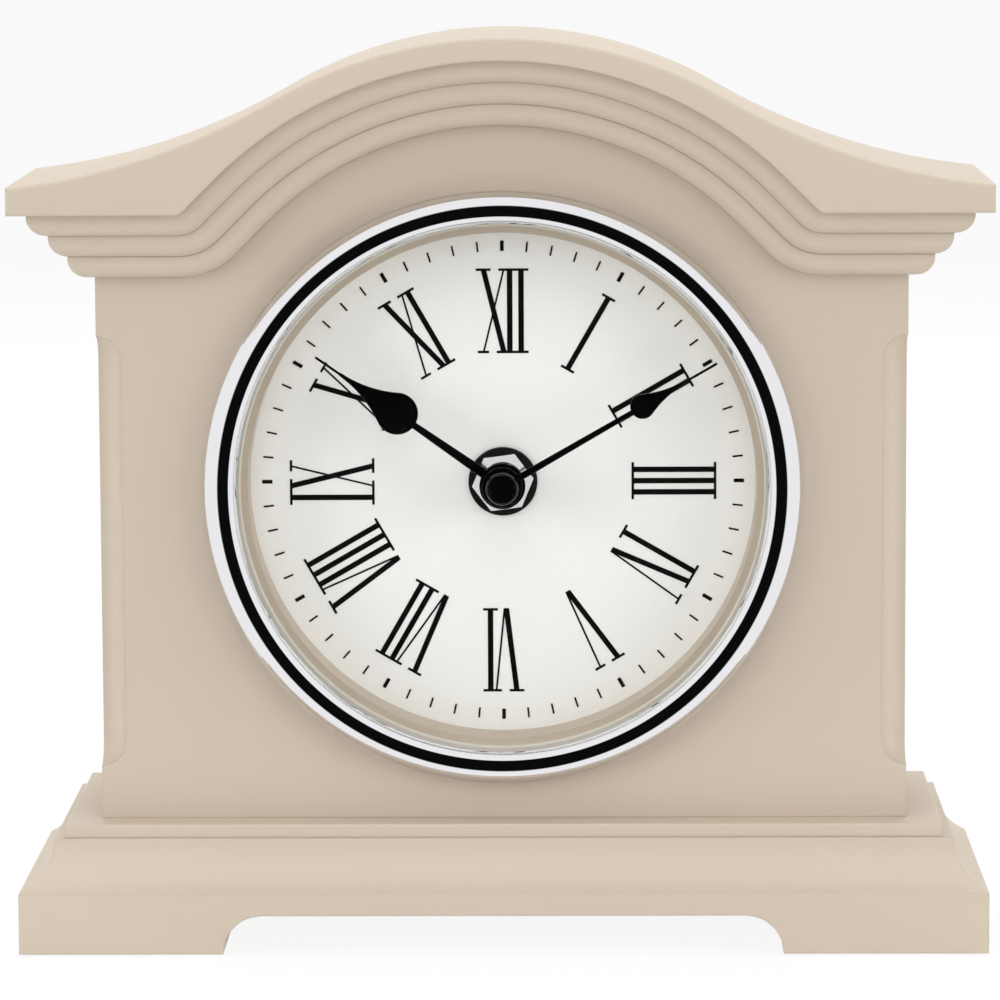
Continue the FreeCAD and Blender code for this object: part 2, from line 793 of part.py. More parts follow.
def make_front_board(shanks):
    """Front board with its round window, bezel pin holes and ball-ended corner hollows."""
    body = slice_body(
        "front_board_body", "y", case_outline(case_drop, case_reach, case_bottom), case_front, board_back
    )
    window = circles((0, S.dial_height, S.window_radius))
    cut_slice(body, "window", "y", window, case_front, board_back)
    holes = []
    for angle in BEZEL_PIN_ANGLES:
        holes.append((*around(S.bezel_pin_ring, angle), S.bezel_pin_radius + S.pin_fit))
    depth = S.bezel_pin_length + S.pin_fit
    cut_slice(body, "bezel_pin_holes", "y", circles(*holes), case_front, case_front + depth)
    tools = list(shanks)
    low = case_bottom + S.corner_cove_start
    high = low + S.corner_cove_length
    for side in sides:
        corner = (case_reach * side, case_front)
        name = f"corner_hollow_{side + 1}"
        tools.append(rod(name, "z", (*corner, low), S.corner_cove_radius, S.corner_cove_length))
        tools.append(ball(name + "_foot", (*corner, low), S.corner_cove_radius))
        tools.append(ball(name + "_head", (*corner, high), S.corner_cove_radius))
    part(less("front_board_cut", body, *tools), "front_board")


def make_plinth_screws():
    """Two screws in each side board, from below through base and slab."""
    screws = []
    shanks = []
    wells = []
    seat_height = base_bottom + S.plinth_screw_sink
    length = case_bottom + S.plinth_screw_bite - seat_height
    middle = (board_back + case_back) / 2
    head_radius = S.plinth_screw_head_radius
    for side in sides:
        across = (case_reach - S.case_wall / 2) * side
        for step in (-0.5, 0.5):
            seat = (across, middle + S.plinth_screw_spacing * step, seat_height)
            name = f"plinth_screw_{len(screws)}"
            one, shank = screw(
                name, "z", seat, S.plinth_screw_radius, length,
                head_radius, S.plinth_screw_head_height, 1,
            )
            screws.append(one)
            shanks.append(shank)
            wells.append(rod(name + "_well", "z", (seat[0], seat[1], 0), head_radius, seat_height))
    part(group("plinth_screws_group", screws), "plinth_screws")
    return shanks, wells


def make_side_boards(shanks):
    """Upright boards behind the front board."""
    for label, side in (("right_side_board", 1), ("left_side_board", -1)):
        low = (case_inside, board_back, case_bottom)
        high = (case_reach, case_back, frame_level)
        if side < 0:
            low, high = (-case_reach, *low[1:]), (-case_inside, *high[1:])
        board = block(label + "_blank", low, high)
        part(less(label + "_cut", board, *shanks), label)


def make_corner_blocks():
    """Glue blocks in the four corners and the brass screws of the back panel in them."""
    blocks = []
    screws = []
    shanks = []
    for side in sides:
        for foot in (case_bottom, frame_level - S.corner_block_size):
            number = len(blocks)
            inner = case_inside - S.corner_block_size
            ends = (inner, case_inside) if side > 0 else (-case_inside, -inner)
            blank = block(
                f"corner_block_{number}", (ends[0], board_back, foot),
                (ends[1], panel_front, foot + S.corner_block_size),
            )
            seat = ((case_inside - S.corner_block_size / 2) * side, case_back, foot + S.corner_block_size / 2)
            one, shank = screw(
                f"panel_screw_{number}", "y", seat, S.panel_screw_radius, S.panel_screw_length,
                S.panel_screw_head_radius, S.panel_screw_head_height, -1,
            )
            blocks.append(less(f"corner_block_{number}_cut", blank, shank))
            screws.append(one)
            shanks.append(shank)
    part(group("corner_blocks_group", blocks), "corner_blocks")
    part(group("panel_screws_group", screws), "panel_screws")
    return shanks


# Base

base_front = crown_front + S.base_front_inset
base_reach = S.base_width / 2
neck_reach = base_reach - S.base_cove_depth
neck_front = base_front + S.base_cove_depth


def make_foot_pads():
    """Round pads let into the underside of the base."""
    pads = []
    for side in sides:
        for depth in (base_front + S.foot_pad_inset, base_back - S.foot_pad_inset):
            place = ((base_reach - S.foot_pad_inset) * side, depth, 0)
            pads.append(rod(f"foot_pad_{len(pads)}", "z", place, S.foot_pad_radius, S.foot_pad_thickness))
    part(group("foot_pads_group", pads), "foot_pads")
    return pads


def make_plinth_base(pads, shanks, wells):
    """Base block with a hollow moulding on its front and ends and a recess below."""
    blank = block(
        "plinth_base_blank", (-base_reach, base_front, base_bottom), (base_reach, base_back, neck_height)
    )
    width = S.base_width + overrun * 2
    depth = S.overall_depth + overrun * 2
    centre = neck_front - S.base_cove_radius
    start = (-base_reach - overrun, centre, neck_height)
    hollows = [rod("base_hollow_front", "x", start, S.base_cove_radius, width)]
    for side in sides:
        place = ((neck_reach + S.base_cove_radius) * side, base_front - overrun, neck_height)
        hollows.append(rod(f"base_hollow_{side + 1}", "y", place, S.base_cove_radius, depth))
    half = S.base_gap_width / 2
    shoulder = half - S.base_gap_height
    outline = [
        (half, base_bottom),
        (shoulder, base_bottom + S.base_gap_height, shoulder, base_bottom),
        (-shoulder, base_bottom + S.base_gap_height),
        (-half, base_bottom, -shoulder, base_bottom),
        (-half, 0),
        (half, 0),
    ]
    gap = slice_body("base_gap", "y", outline, base_front - overrun, base_back + overrun)
    part(less("plinth_base_cut", blank, *hollows, gap, *pads, *shanks, *wells), "plinth_base")


def make_plinth_slab(shanks):
    """Thin slab that the case stands on."""
    reach = neck_reach - S.slab_side_inset
    outline = rectangle(-reach, reach, neck_front + S.slab_front_inset, base_back - S.slab_back_inset)
    body = slice_body("plinth_slab_body", "z", outline, neck_height, case_bottom)
    DOC.recompute()
    names = edges_where(body.Shape, lambda middle: near(middle.z, case_bottom))
    round_edges(body, "plinth_slab_edges", names, S.slab_edge_round)
    part(less("plinth_slab_cut", body, *shanks), "plinth_slab")


# Bezel, gasket and glass

lens_back = case_front - S.gasket_thickness
lens_radius = (S.glass_radius * S.glass_radius + S.glass_rise * S.glass_rise) / (S.glass_rise * 2)
lens_apex = lens_back - S.glass_rise
lens_front = lens_apex - S.glass_thickness
lip_back = (
    lens_front + lens_radius - root(lens_radius * lens_radius - S.bezel_lip_radius * S.bezel_lip_radius)
    - S.glass_fit
)
lip_front = lip_back - S.bezel_lip_thickness
crest = lip_front - S.bezel_crest_rise


def make_bezel():
    """Polished ring with a lip over the glass, and three pins behind it."""
    outer_run = S.bezel_radius - S.bezel_crest_radius
    outer_fall = S.bezel_outer_round - root(S.bezel_outer_round * S.bezel_outer_round - outer_run * outer_run)
    run = S.bezel_crest_radius - S.bezel_lip_radius
    inner_round = (run * run + S.bezel_crest_rise * S.bezel_crest_rise) / (S.bezel_crest_rise * 2)
    rebate = S.glass_radius + S.glass_fit
    outline = [
        (S.bezel_radius, case_front),
        (S.bezel_radius, crest + outer_fall),
        (S.bezel_crest_radius, crest, S.bezel_crest_radius, crest + S.bezel_outer_round),
        (S.bezel_lip_radius, lip_front, S.bezel_crest_radius, crest + inner_round),
        (S.bezel_lip_radius, lip_back),
        (rebate, lip_back),
        (rebate, case_front),
    ]
    ring = turned_body("bezel_body", outline, S.dial_height)
    pins = []
    for angle in BEZEL_PIN_ANGLES:
        across, height = around(S.bezel_pin_ring, angle)
        start = (across, case_front - S.bezel_lip_thickness, height)
        length = S.bezel_pin_length + S.bezel_lip_thickness
        pins.append(rod(f"bezel_pin_{angle}", "y", start, S.bezel_pin_radius, length))
    part(joined("bezel_ring_whole", ring, *pins), "bezel_ring")


def make_gasket():
    """Flat ring between the glass and the front board."""
    rings = circles(
        (0, S.dial_height, S.glass_radius),
        (0, S.dial_height, S.glass_radius - S.gasket_width),
    )
    part(slice_body("glass_gasket_body", "y", rings, lens_back, case_front), "glass_gasket")


def make_glass():
    """Domed glass of even thickness."""
    outline = [
        (0, lens_apex),
        (S.glass_radius, lens_back, 0, lens_apex + lens_radius),
        (S.glass_radius, lens_back - S.glass_thickness),
        (0, lens_front, 0, lens_front + lens_radius),
    ]
    part(turned_body("glass_lens_body", outline, S.dial_height), "glass_lens")


# Dial

bushing_hole = S.bushing_radius + S.bushing_hole_fit


def disc(name, radius, hole, front, back):
    """Flat round plate with a central hole."""
    return slice_body(name, "y", circles((0, S.dial_height, radius), (0, S.dial_height, hole)), front, back)


def make_dial(shanks):
    """Dial plate and the hardboard behind it."""
    part(disc("dial_plate_body", S.dial_radius, bushing_hole, board_back, dial_back), "dial_plate")
    backing = disc("backing_blank", S.backing_radius, bushing_hole, dial_back, backing_back)
    part(less("backing_cut", backing, *shanks), "dial_backing_board")


def make_minute_marks():
    """Sixty printed marks, wider at the hours."""
    marks = []
    for number in range(60):
        width = S.minute_mark_width if number % 5 else S.hour_mark_width
        mark = DOC.addObject("Part::Box", f"minute_mark_{number}")
        bind(mark, "Length", width)
        bind(mark, "Width", S.print_thickness)
        bind(mark, "Height", S.minute_mark_length)
        turn(mark, Vector(0, 1, 0), 6 * number)
        across, height = around(S.minute_ring_radius - S.minute_mark_length / 2, 90 - 6 * number)
        back_across, back_height = around(width / 2, 180 - 6 * number)
        move(mark, across + back_across, board_back - S.print_thickness, height + back_height - S.dial_height)
        marks.append(mark)
    part(group("minute_marks_group", marks), "minute_marks")


backing_shanks = make_backing_screws()
make_front_board(backing_shanks)
plinth_shanks, plinth_wells = make_plinth_screws()
make_side_boards(plinth_shanks)
panel_shanks = make_corner_blocks()
foot_pads = make_foot_pads()
make_plinth_base(foot_pads, plinth_shanks, plinth_wells)
make_plinth_slab(plinth_shanks)
make_bezel()
make_gasket()
make_glass()
make_dial(backing_shanks)
make_minute_marks()


def numeral_strokes(text):
    """Strokes of one numeral as corners (across, up), and its width between the
    outer strokes."""
    tall = S.numeral_height.value
    thick = S.numeral_stroke.value
    thin = S.numeral_hairline.value
    serif = S.numeral_serif.value
    reach = S.numeral_serif_reach.value
    wide = S.numeral_vee_width.value
    pitch = S.numeral_pitch.value
    strokes = []

    def stroke(foot, head, width):
        half = width / 2
        strokes.append([(foot - half, 0), (foot + half, 0), (head + half, tall), (head - half, tall)])

    def bar(place, width, level):
        half = width / 2 + reach
        strokes.append([
            (place - half, level), (place + half, level),
            (place + half, level + serif), (place - half, level + serif),
        ])

    cursor = 0
    last = 0
    for letter in text:
        far = cursor + wide
        if letter == "I":
            stroke(cursor, cursor, thick)
            bar(cursor, thick, 0)
            bar(cursor, thick, tall - serif)
            last = cursor
            cursor += pitch
            continue
        bar(cursor, thick, tall - serif)
        bar(far, thin, tall - serif)
        if letter == "V":
            middle = (cursor + far) / 2
            stroke(middle, cursor, thick)
            stroke(middle + (thick - thin) / 2, far, thin)
        else:
            stroke(far, cursor, thick)
            stroke(cursor, far, thin)
            bar(cursor, thin, 0)
            bar(far, thick, 0)
        last = far
        cursor = far + pitch / 2
    return strokes, last


NUMERALS = ("XII", "I", "II", "III", "IV", "V", "VI", "VII", "VIII", "IX", "X", "XI")


def make_numerals():
    """Printed roman numerals that stand radially, their heads outwards."""
    numerals = []
    for hour, text in enumerate(NUMERALS):
        strokes, width = numeral_strokes(text)
        solids = []
        for corners in strokes:
            points = [
                Vector(across - width / 2, 0, S.numeral_foot_radius.value + up) for across, up in corners
            ]
            face = Part.Face(Part.makePolygon(points + points[:1]))
            solids.append(face.extrude(Vector(0, S.print_thickness.value, 0)))
        numeral = DOC.addObject("Part::Feature", f"numeral_{hour}")
        numeral.Shape = solids[0].multiFuse(solids[1:]).removeSplitter()
        turn(numeral, Vector(0, 1, 0), 30 * hour)
        move(numeral, 0, board_back - S.print_thickness, S.dial_height)
        numerals.append(numeral)
    part(group("hour_numerals_group", numerals), "hour_numerals")


# Nut, bushing and washer

pipe_bore = S.arbor_radius + S.running_fit
pipe_radius = pipe_bore + S.pipe_wall
cover_front = backing_back
cover_back = cover_front + S.movement_wall


def front_of(rise):
    """Depth of a place that lies in front of the dial."""
    return board_back - rise


def tube(name, radius, bore, front, back):
    """Round tube about the dial axis."""
    outer = rod(name + "_outer", "y", (0, front, S.dial_height), radius, back - front)
    inner = rod(name + "_bore", "y", (0, front, S.dial_height), bore, back - front)
    return less(name, outer, inner)


def make_nut_and_bushing():
    """Black washer, chamfered hexagon nut and the threaded bushing that they clamp."""
    washer_front = front_of(S.washer_thickness)
    nut_front = washer_front - S.nut_thickness
    part(disc("dial_washer_body", S.washer_radius, bushing_hole, washer_front, board_back), "dial_washer")
    corner = S.nut_flats / 2 / cosine(30)
    outline = [around(corner, S.nut_turn + 60 * number) for number in range(6)]
    nut = slice_body("hex_nut_body", "y", outline, nut_front, washer_front)
    bore = circles((0, S.dial_height, S.bushing_radius))
    cut_slice(nut, "hex_nut_bore", "y", bore, nut_front, washer_front)
    bevel = cone(
        "hex_nut_bevel", "y", (0, nut_front, S.dial_height), S.nut_chamfer_radius,
        S.nut_chamfer_radius + S.nut_thickness, S.nut_thickness,
    )
    chamfered = DOC.addObject("Part::Common", "hex_nut_chamfered")
    chamfered.Base = nut
    chamfered.Tool = bevel
    part(chamfered, "hex_nut")
    bushing = tube(
        "threaded_bushing_tube", S.bushing_radius, pipe_radius + S.running_fit,
        front_of(S.bushing_rise), cover_back,
    )
    part(bushing, "threaded_bushing")


# Hands


def make_hand(label, place, hub, bore, rise):
    """Hand with a round bulb, a hollow taper past it and a straight point.  It is
    drawn pointing up and turned clockwise to its rest angle."""
    length, bulb, radius, taper, neck, root_width, point, angle = (
        getattr(S, f"{label}_{name}")
        for name in ("length", "bulb_place", "bulb_radius", "taper", "neck", "root", "point", "angle")
    )
    half_point = point / 2
    hollow = (half_point * half_point + taper * taper - radius * radius) / ((radius - half_point) * 2)
    share = radius / (radius + hollow)
    leave = bulb - root(radius * radius - neck * neck / 4)
    tip_round = S.hand_tip_width / 2
    right = [
        (neck / 2, leave),
        ((half_point + hollow) * share, bulb + taper * share, 0, bulb),
        (half_point, bulb + taper, half_point + hollow, bulb + taper),
        (tip_round, length - tip_round),
        (0, length, 0, length - tip_round),
    ]
    start = (root_width / 2, 0)
    left = [(-step[0], *step[1:2], *((-step[2], step[3]) if len(step) > 2 else ())) for step in right[:-1]]
    mirrored = backwards((-start[0], start[1]), left + [(0, length, 0, length - tip_round)])
    front = front_of(rise + S.hand_thickness)
    back = front_of(rise)
    body = new_body(place)
    add_slice(body, label + "_arm", "y", [start] + right + mirrored, front, back)
    add_slice(body, label + "_disc", "y", circles((0, 0, hub)), front, back)
    cut_slice(body, label + "_bore", "y", circles((0, 0, bore)), front, back)
    turn(body, Vector(0, 1, 0), angle)
    move(body, 0, 0, S.dial_height)
    part(body, label)


def make_cap():
    """Black cap on the end of the minute arbor."""
    back = front_of(S.minute_hand_rise + S.hand_thickness + S.cap_gap)
    front = back - S.cap_height
    floor = front_of(S.arbor_rise)
    outline = [
        (S.cap_radius, back),
        (S.cap_radius, front + S.cap_round),
        (S.cap_radius - S.cap_round, front, S.cap_radius - S.cap_round, front + S.cap_round),
        (0, front),
        (0, floor),
        (S.arbor_radius, floor),
        (S.arbor_radius, back),
    ]
    part(turned_body("hand_cap_body", outline, S.dial_height), "hand_cap")


make_numerals()
make_nut_and_bushing()
make_hand("hour_hand", "hour_hand_body", S.hour_hand_hub, pipe_radius, S.hour_hand_rise)
make_hand("minute_hand", "minute_hand_body", S.minute_hand_hub, S.arbor_radius, S.minute_hand_rise)
make_cap()


# Back panel, door, hinges and catch

door_height = S.doorway_sill + S.doorway_height / 2
door_reach = S.doorway_width / 2
hinge_across = -door_reach + S.door_fit / 2
hinge_depth = case_back + S.hinge_knuckle_radius + S.hinge_gap / 2
hinge_heights = (
    S.doorway_sill + S.hinge_inset,
    S.doorway_sill + S.doorway_height - S.hinge_inset - S.hinge_length,
)
knob_across = door_reach - S.door_fit - S.knob_inset
strike_front = panel_front - S.strike_thickness
catch_front = strike_front - S.catch_gap


def make_back_panel(shanks, catch_shank):
    """Back panel let into the case, with its doorway."""
    outline = case_outline(frame_drop + S.panel_fit, case_inside - S.panel_fit, case_bottom + S.panel_fit)
    body = slice_body("back_panel_body", "y", outline, panel_front, case_back)
    sill = S.doorway_sill
    doorway = rectangle(-door_reach, door_reach, sill, sill + S.doorway_height)
    cut_slice(body, "doorway", "y", doorway, panel_front, case_back)
    part(less("back_panel_cut", body, *shanks, catch_shank), "back_panel")


def make_door():
    """Rear door with its turned knob and the steel plate that the magnet holds."""
    low = (-door_reach + S.door_fit, panel_front, S.doorway_sill + S.door_fit)
    high = (door_reach - S.door_fit, case_back, S.doorway_sill + S.doorway_height - S.door_fit)
    neck_length = S.panel_thickness + S.knob_height / 2
    neck = rod("knob_neck", "y", (knob_across, panel_front, door_height), S.knob_neck_radius, neck_length)
    head_start = case_back + S.knob_height / 2
    head = rod("knob_head", "y", (knob_across, head_start, door_height), S.knob_radius, S.knob_height / 2)
    part(less("rear_door_cut", block("rear_door_blank", low, high), neck), "rear_door")
    part(joined("knob_whole", neck, head), "door_knob")
    half = S.strike_size / 2
    strike = block(
        "strike_blank", (knob_across - half, strike_front, door_height - half),
        (knob_across + half, panel_front, door_height + half),
    )
    part(strike, "strike_plate")


def make_catch():
    """Magnet catch that reaches behind the free edge of the door."""
    depth_front = catch_front - S.catch_depth
    half = S.catch_height / 2
    arm = block(
        "catch_arm", (knob_across - S.strike_size / 2, depth_front, door_height - half),
        (door_reach + S.catch_reach, catch_front, door_height + half),
    )
    foot = block(
        "catch_foot", (door_reach + S.door_fit, catch_front, door_height - half),
        (door_reach + S.catch_reach, panel_front, door_height + half),
    )
    magnet = rod(
        "catch_magnet_rod", "y", (knob_across, catch_front - S.magnet_depth, door_height),
        S.magnet_radius, S.magnet_depth,
    )
    seat = (door_reach + S.catch_reach / 2, depth_front, door_height)
    length = panel_front - depth_front + S.panel_thickness / 2
    fastener, shank = screw(
        "catch_screw_whole", "y", seat, S.catch_screw_radius, length,
        S.catch_screw_head_radius, S.catch_screw_head_height, 1,
    )
    part(less("catch_holder_cut", joined("catch_holder_blank", arm, foot), magnet, shank), "catch_holder")
    part(magnet, "catch_magnet")
    part(fastener, "catch_screw")
    return shank


def hinge_leaf(name, side, height, spans, bore):
    """One leaf with its knuckles.  The side is +1 for the door and -1 for the panel."""
    clear = S.hinge_knuckle_radius + S.hinge_gap
    back = case_back + S.hinge_leaf_thickness
    pieces = []

    def flat(label, near_edge, far_edge, low, high):
        ends = sorted((hinge_across + near_edge * side, hinge_across + far_edge * side), key=plain)
        pieces.append(block(label, (ends[0], case_back, low), (ends[1], back, high)))

    flat(name + "_plate", clear, clear + S.hinge_leaf_width, height, height + S.hinge_length)
    for number, (low, high) in enumerate(spans):
        flat(f"{name}_arm_{number}", 0, clear, low, high)
        place = (hinge_across, hinge_depth, low)
        pieces.append(rod(f"{name}_knuckle_{number}", "z", place, S.hinge_knuckle_radius, high - low))
    hole = rod(name + "_bore", "z", (hinge_across, hinge_depth, height), bore, S.hinge_length)
    return less(name, joined(name + "_blank", *pieces), hole)


def make_hinges():
    """Two butt hinges: the panel leaf has two knuckles, the door leaf the one between."""
    panel_leaves = []
    door_leaves = []
    pins = []
    knuckle = (S.hinge_length - S.hinge_gap * 2) / 3
    loose_radius = S.hinge_pin_radius + S.pin_fit
    for number, height in enumerate(hinge_heights):
        top = height + S.hinge_length
        outer = ((height, height + knuckle), (top - knuckle, top))
        middle = ((height + knuckle + S.hinge_gap, top - knuckle - S.hinge_gap),)
        panel_leaves.append(hinge_leaf(f"panel_leaf_{number}", -1, height, outer, S.hinge_pin_radius))
        door_leaves.append(hinge_leaf(f"door_leaf_{number}", 1, height, middle, loose_radius))
        place = (hinge_across, hinge_depth, height)
        pins.append(rod(f"hinge_pin_{number}", "z", place, S.hinge_pin_radius, S.hinge_length))
    part(group("hinge_leaves_panel_group", panel_leaves), "hinge_leaves_panel")
    part(group("hinge_leaves_door_group", door_leaves), "hinge_leaves_door")
    part(group("hinge_pins_group", pins), "hinge_pins")


catch_shank = make_catch()
make_back_panel(panel_shanks, catch_shank)
make_door()
make_hinges()


# Movement: layers from front to back, each pair of wheels in one layer

half_movement = S.movement_width / 2
inner_half = half_movement - S.movement_wall
movement_low = S.dial_height - S.movement_drop
movement_high = S.dial_height + S.movement_rise
movement_back = cover_front + S.movement_depth
rear_wall = movement_back - S.movement_wall
bay_floor = movement_low + S.movement_wall
bay_top = bay_floor + (S.battery_radius + S.battery_fit) * 2
gear_floor = bay_top + S.movement_wall
gear_top = movement_high - S.movement_wall

hour_front = cover_back + S.wheel_gap
hour_back = hour_front + S.hour_wheel_thickness
cannon_front = hour_back + S.wheel_gap
cannon_back = cannon_front + S.cannon_thickness
plate_front = cannon_back + S.wheel_gap
plate_back = plate_front + S.plate_thickness
minute_front = plate_back + S.wheel_gap
minute_back = minute_front + S.minute_wheel_thickness
rotor_front = minute_back + S.wheel_gap * 2
rotor_back = rotor_front + S.rotor_wheel_thickness
magnet_front = rotor_back + S.wheel_gap
magnet_back = magnet_front + S.magnet_rotor_length
stator_front = magnet_front + (S.magnet_rotor_length - S.stator_thickness) / 2
stator_back = stator_front + S.stator_thickness
circuit_front = cover_front + S.board_place
circuit_back = circuit_front + S.board_thickness

cannon_distance = S.cannon_module * (CANNON_TEETH + MINUTE_WORK_TEETH) / 2
hour_module = cannon_distance * 2 / (HOUR_TEETH + HOUR_PINION_TEETH)
minute_distance = S.minute_module * (MINUTE_TEETH + MINUTE_PINION_TEETH) / 2
rotor_distance = S.rotor_module * (INTERMEDIATE_TEETH + ROTOR_TEETH) / 2
dial_axis = (0, S.dial_height)
work_axis = (cannon_distance, S.dial_height)
intermediate_axis = (0, S.dial_height + minute_distance)
rotor_axis = (
    rotor_distance * cosine(S.rotor_direction),
    intermediate_axis[1] + rotor_distance * sine(S.rotor_direction),
)
post_bore = S.post_radius + S.running_fit


def toothed(name, axis, module, teeth, first, bore, front, back):
    """Toothed wheel about an axis that runs front to back.  One tooth points in the
    first direction, in degrees from +X towards +Z; each has a root, a pitch and a
    tip width on the three circles that its flanks cross."""
    pitch_radius = module.value * teeth / 2
    radii = (
        pitch_radius - module.value * TOOTH_DEPTH_SHARE,
        pitch_radius,
        pitch_radius + module.value * TOOTH_RISE_SHARE,
    )
    pitch = 2 * math.pi / teeth
    flank = list(zip(radii, TOOTH_WIDTH_SHARES))
    points = []
    for number in range(teeth):
        middle = math.radians(first) + number * pitch
        for side, stations in ((-0.5, flank), (0.5, reversed(flank))):
            for radius, share in stations:
                angle = middle + side * share * pitch
                points.append(Vector(radius * math.cos(angle), 0, radius * math.sin(angle)))
    outline = Part.makePolygon(points + points[:1])
    face = Part.Face(outline)
    if bore:
        hole = Part.Wire(Part.Circle(Vector(), Vector(0, 1, 0), plain(bore)).toShape())
        face = face.cut(Part.Face(hole))
    wheel = DOC.addObject("Part::Feature", name)
    wheel.Shape = face.extrude(Vector(0, plain(back) - plain(front), 0))
    move(wheel, axis[0], front, axis[1])
    return wheel


def half_tooth(teeth):
    """Half the pitch of a wheel in degrees: turns a tooth into a gap."""
    return 180 / teeth


def make_movement_case():
    """Front cover, and the housing with its wheel chamber and battery bay."""
    cover = block(
        "movement_cover_blank", (-half_movement, cover_front, movement_low),
        (half_movement, cover_back, movement_high),
    )
    hole = rod("movement_cover_hole", "y", (0, cover_front, S.dial_height), S.bushing_radius, S.movement_wall)
    part(less("movement_cover_cut", cover, hole), "movement_front_cover")
    outside = block(
        "housing_blank", (-half_movement, cover_back, movement_low),
        (half_movement, movement_back, movement_high),
    )
    chamber = block(
        "housing_chamber", (-inner_half, cover_back, gear_floor), (inner_half, rear_wall, gear_top)
    )
    bay = block("housing_bay", (-inner_half, cover_back, bay_floor), (inner_half, movement_back, bay_top))
    holes = []
    for side in sides:
        place = (S.button_spread / 2 * side, rear_wall, S.dial_height + S.button_height)
        radius = S.button_radius + S.running_fit
        holes.append(rod(f"button_hole_{side + 1}", "y", place, radius, S.movement_wall))
    part(less("housing_cut", outside, chamber, bay, *holes), "movement_housing")


def make_movement_plate():
    """Plate across the chamber, the posts of the wheels and the posts of the stator."""
    outline = rectangle(-inner_half, inner_half, gear_floor, gear_top)
    body = slice_body("movement_plate_body", "y", outline, plate_front, plate_back)
    holes = circles(
        (*dial_axis, pipe_bore),
        (*work_axis, S.post_radius),
        (*intermediate_axis, S.post_radius),
        (*rotor_axis, S.rotor_shaft_radius + S.running_fit),
    )
    cut_slice(body, "movement_plate_holes", "y", holes, plate_front, plate_back)
    part(body, "movement_plate")
    stator_foot = (rotor_axis[0] - S.stator_reach + S.stator_bar / 2, rotor_axis[1])
    stator_hand = (stator_right - S.stator_bar / 2, stator_top - S.stator_bar / 2)
    posts = []
    for name, axis, radius, front, back in (
        ("minute_work_post", work_axis, S.post_radius, hour_front, plate_back),
        ("intermediate_post", intermediate_axis, S.post_radius, plate_front, rotor_back),
        ("stator_post_left", stator_foot, S.stator_post_radius, plate_back, stator_front),
        ("stator_post_right", stator_hand, S.stator_post_radius, plate_back, stator_front),
    ):
        posts.append(rod(name, "y", (axis[0], front, axis[1]), radius, back - front))
    part(group("movement_posts_group", posts), "movement_posts")


def make_wheels():
    """The gear train: minute arbor and wheel, motion work, intermediate and rotor."""
    arbor = rod("arbor_rod", "y", (0, front_of(S.arbor_rise), S.dial_height), S.arbor_radius,
                minute_back - front_of(S.arbor_rise))
    cannon = toothed("cannon_pinion", dial_axis, S.cannon_module, CANNON_TEETH, 0, S.arbor_radius,
                     cannon_front, cannon_back)
    part(joined("minute_arbor_whole", arbor, cannon), "minute_arbor")
    minute = toothed("minute_wheel_blank", dial_axis, S.minute_module, MINUTE_TEETH, 90, S.arbor_radius,
                     minute_front, minute_back)
    part(minute, "minute_wheel")
    pipe = tube("hour_pipe", pipe_radius, pipe_bore, front_of(S.pipe_rise), hour_back)
    hour = toothed(
        "hour_wheel_blank", dial_axis, hour_module, HOUR_TEETH, 0, pipe_bore, hour_front, hour_back
    )
    part(joined("hour_wheel_whole", pipe, hour), "hour_wheel")
    driven = toothed("minute_work_blank", work_axis, S.cannon_module, MINUTE_WORK_TEETH,
                     180 + half_tooth(MINUTE_WORK_TEETH), post_bore, cannon_front, cannon_back)
    driver = toothed("minute_work_pinion", work_axis, hour_module, HOUR_PINION_TEETH,
                     180 + half_tooth(HOUR_PINION_TEETH), post_bore, hour_front, cannon_front)
    part(joined("minute_work_whole", driven, driver), "minute_work_wheel")
    small = toothed("intermediate_pinion", intermediate_axis, S.minute_module, MINUTE_PINION_TEETH,
                    270 + half_tooth(MINUTE_PINION_TEETH), post_bore, minute_front, rotor_front)
    large = toothed("intermediate_blank", intermediate_axis, S.rotor_module, INTERMEDIATE_TEETH,
                    S.rotor_direction.value, post_bore, rotor_front, rotor_back)
    part(joined("intermediate_whole", small, large), "intermediate_wheel")
    pinion = toothed("rotor_pinion_blank", rotor_axis, S.rotor_module, ROTOR_TEETH,
                     S.rotor_direction.value + 180 + half_tooth(ROTOR_TEETH), 0, rotor_front, rotor_back)
    shaft = rod("rotor_shaft", "y", (rotor_axis[0], plate_front, rotor_axis[1]), S.rotor_shaft_radius,
                magnet_back + S.wheel_gap - plate_front)
    part(joined("rotor_pinion_whole", pinion, shaft), "rotor_pinion")
    magnet = slice_body(
        "rotor_magnet_body", "y",
        circles((*rotor_axis, S.magnet_rotor_radius), (*rotor_axis, S.rotor_shaft_radius)),
        magnet_front, magnet_back,
    )
    part(magnet, "rotor_magnet")


eye_radius = S.magnet_rotor_radius + S.stator_gap
stator_right = rotor_axis[0] + eye_radius + S.stator_eye
stator_left = rotor_axis[0] - S.stator_reach
stator_low = rotor_axis[1] - eye_radius - S.stator_eye
stator_shelf = rotor_axis[1] + eye_radius + S.stator_eye
stator_bridge = stator_shelf + S.stator_window
stator_top = stator_bridge + S.stator_bar


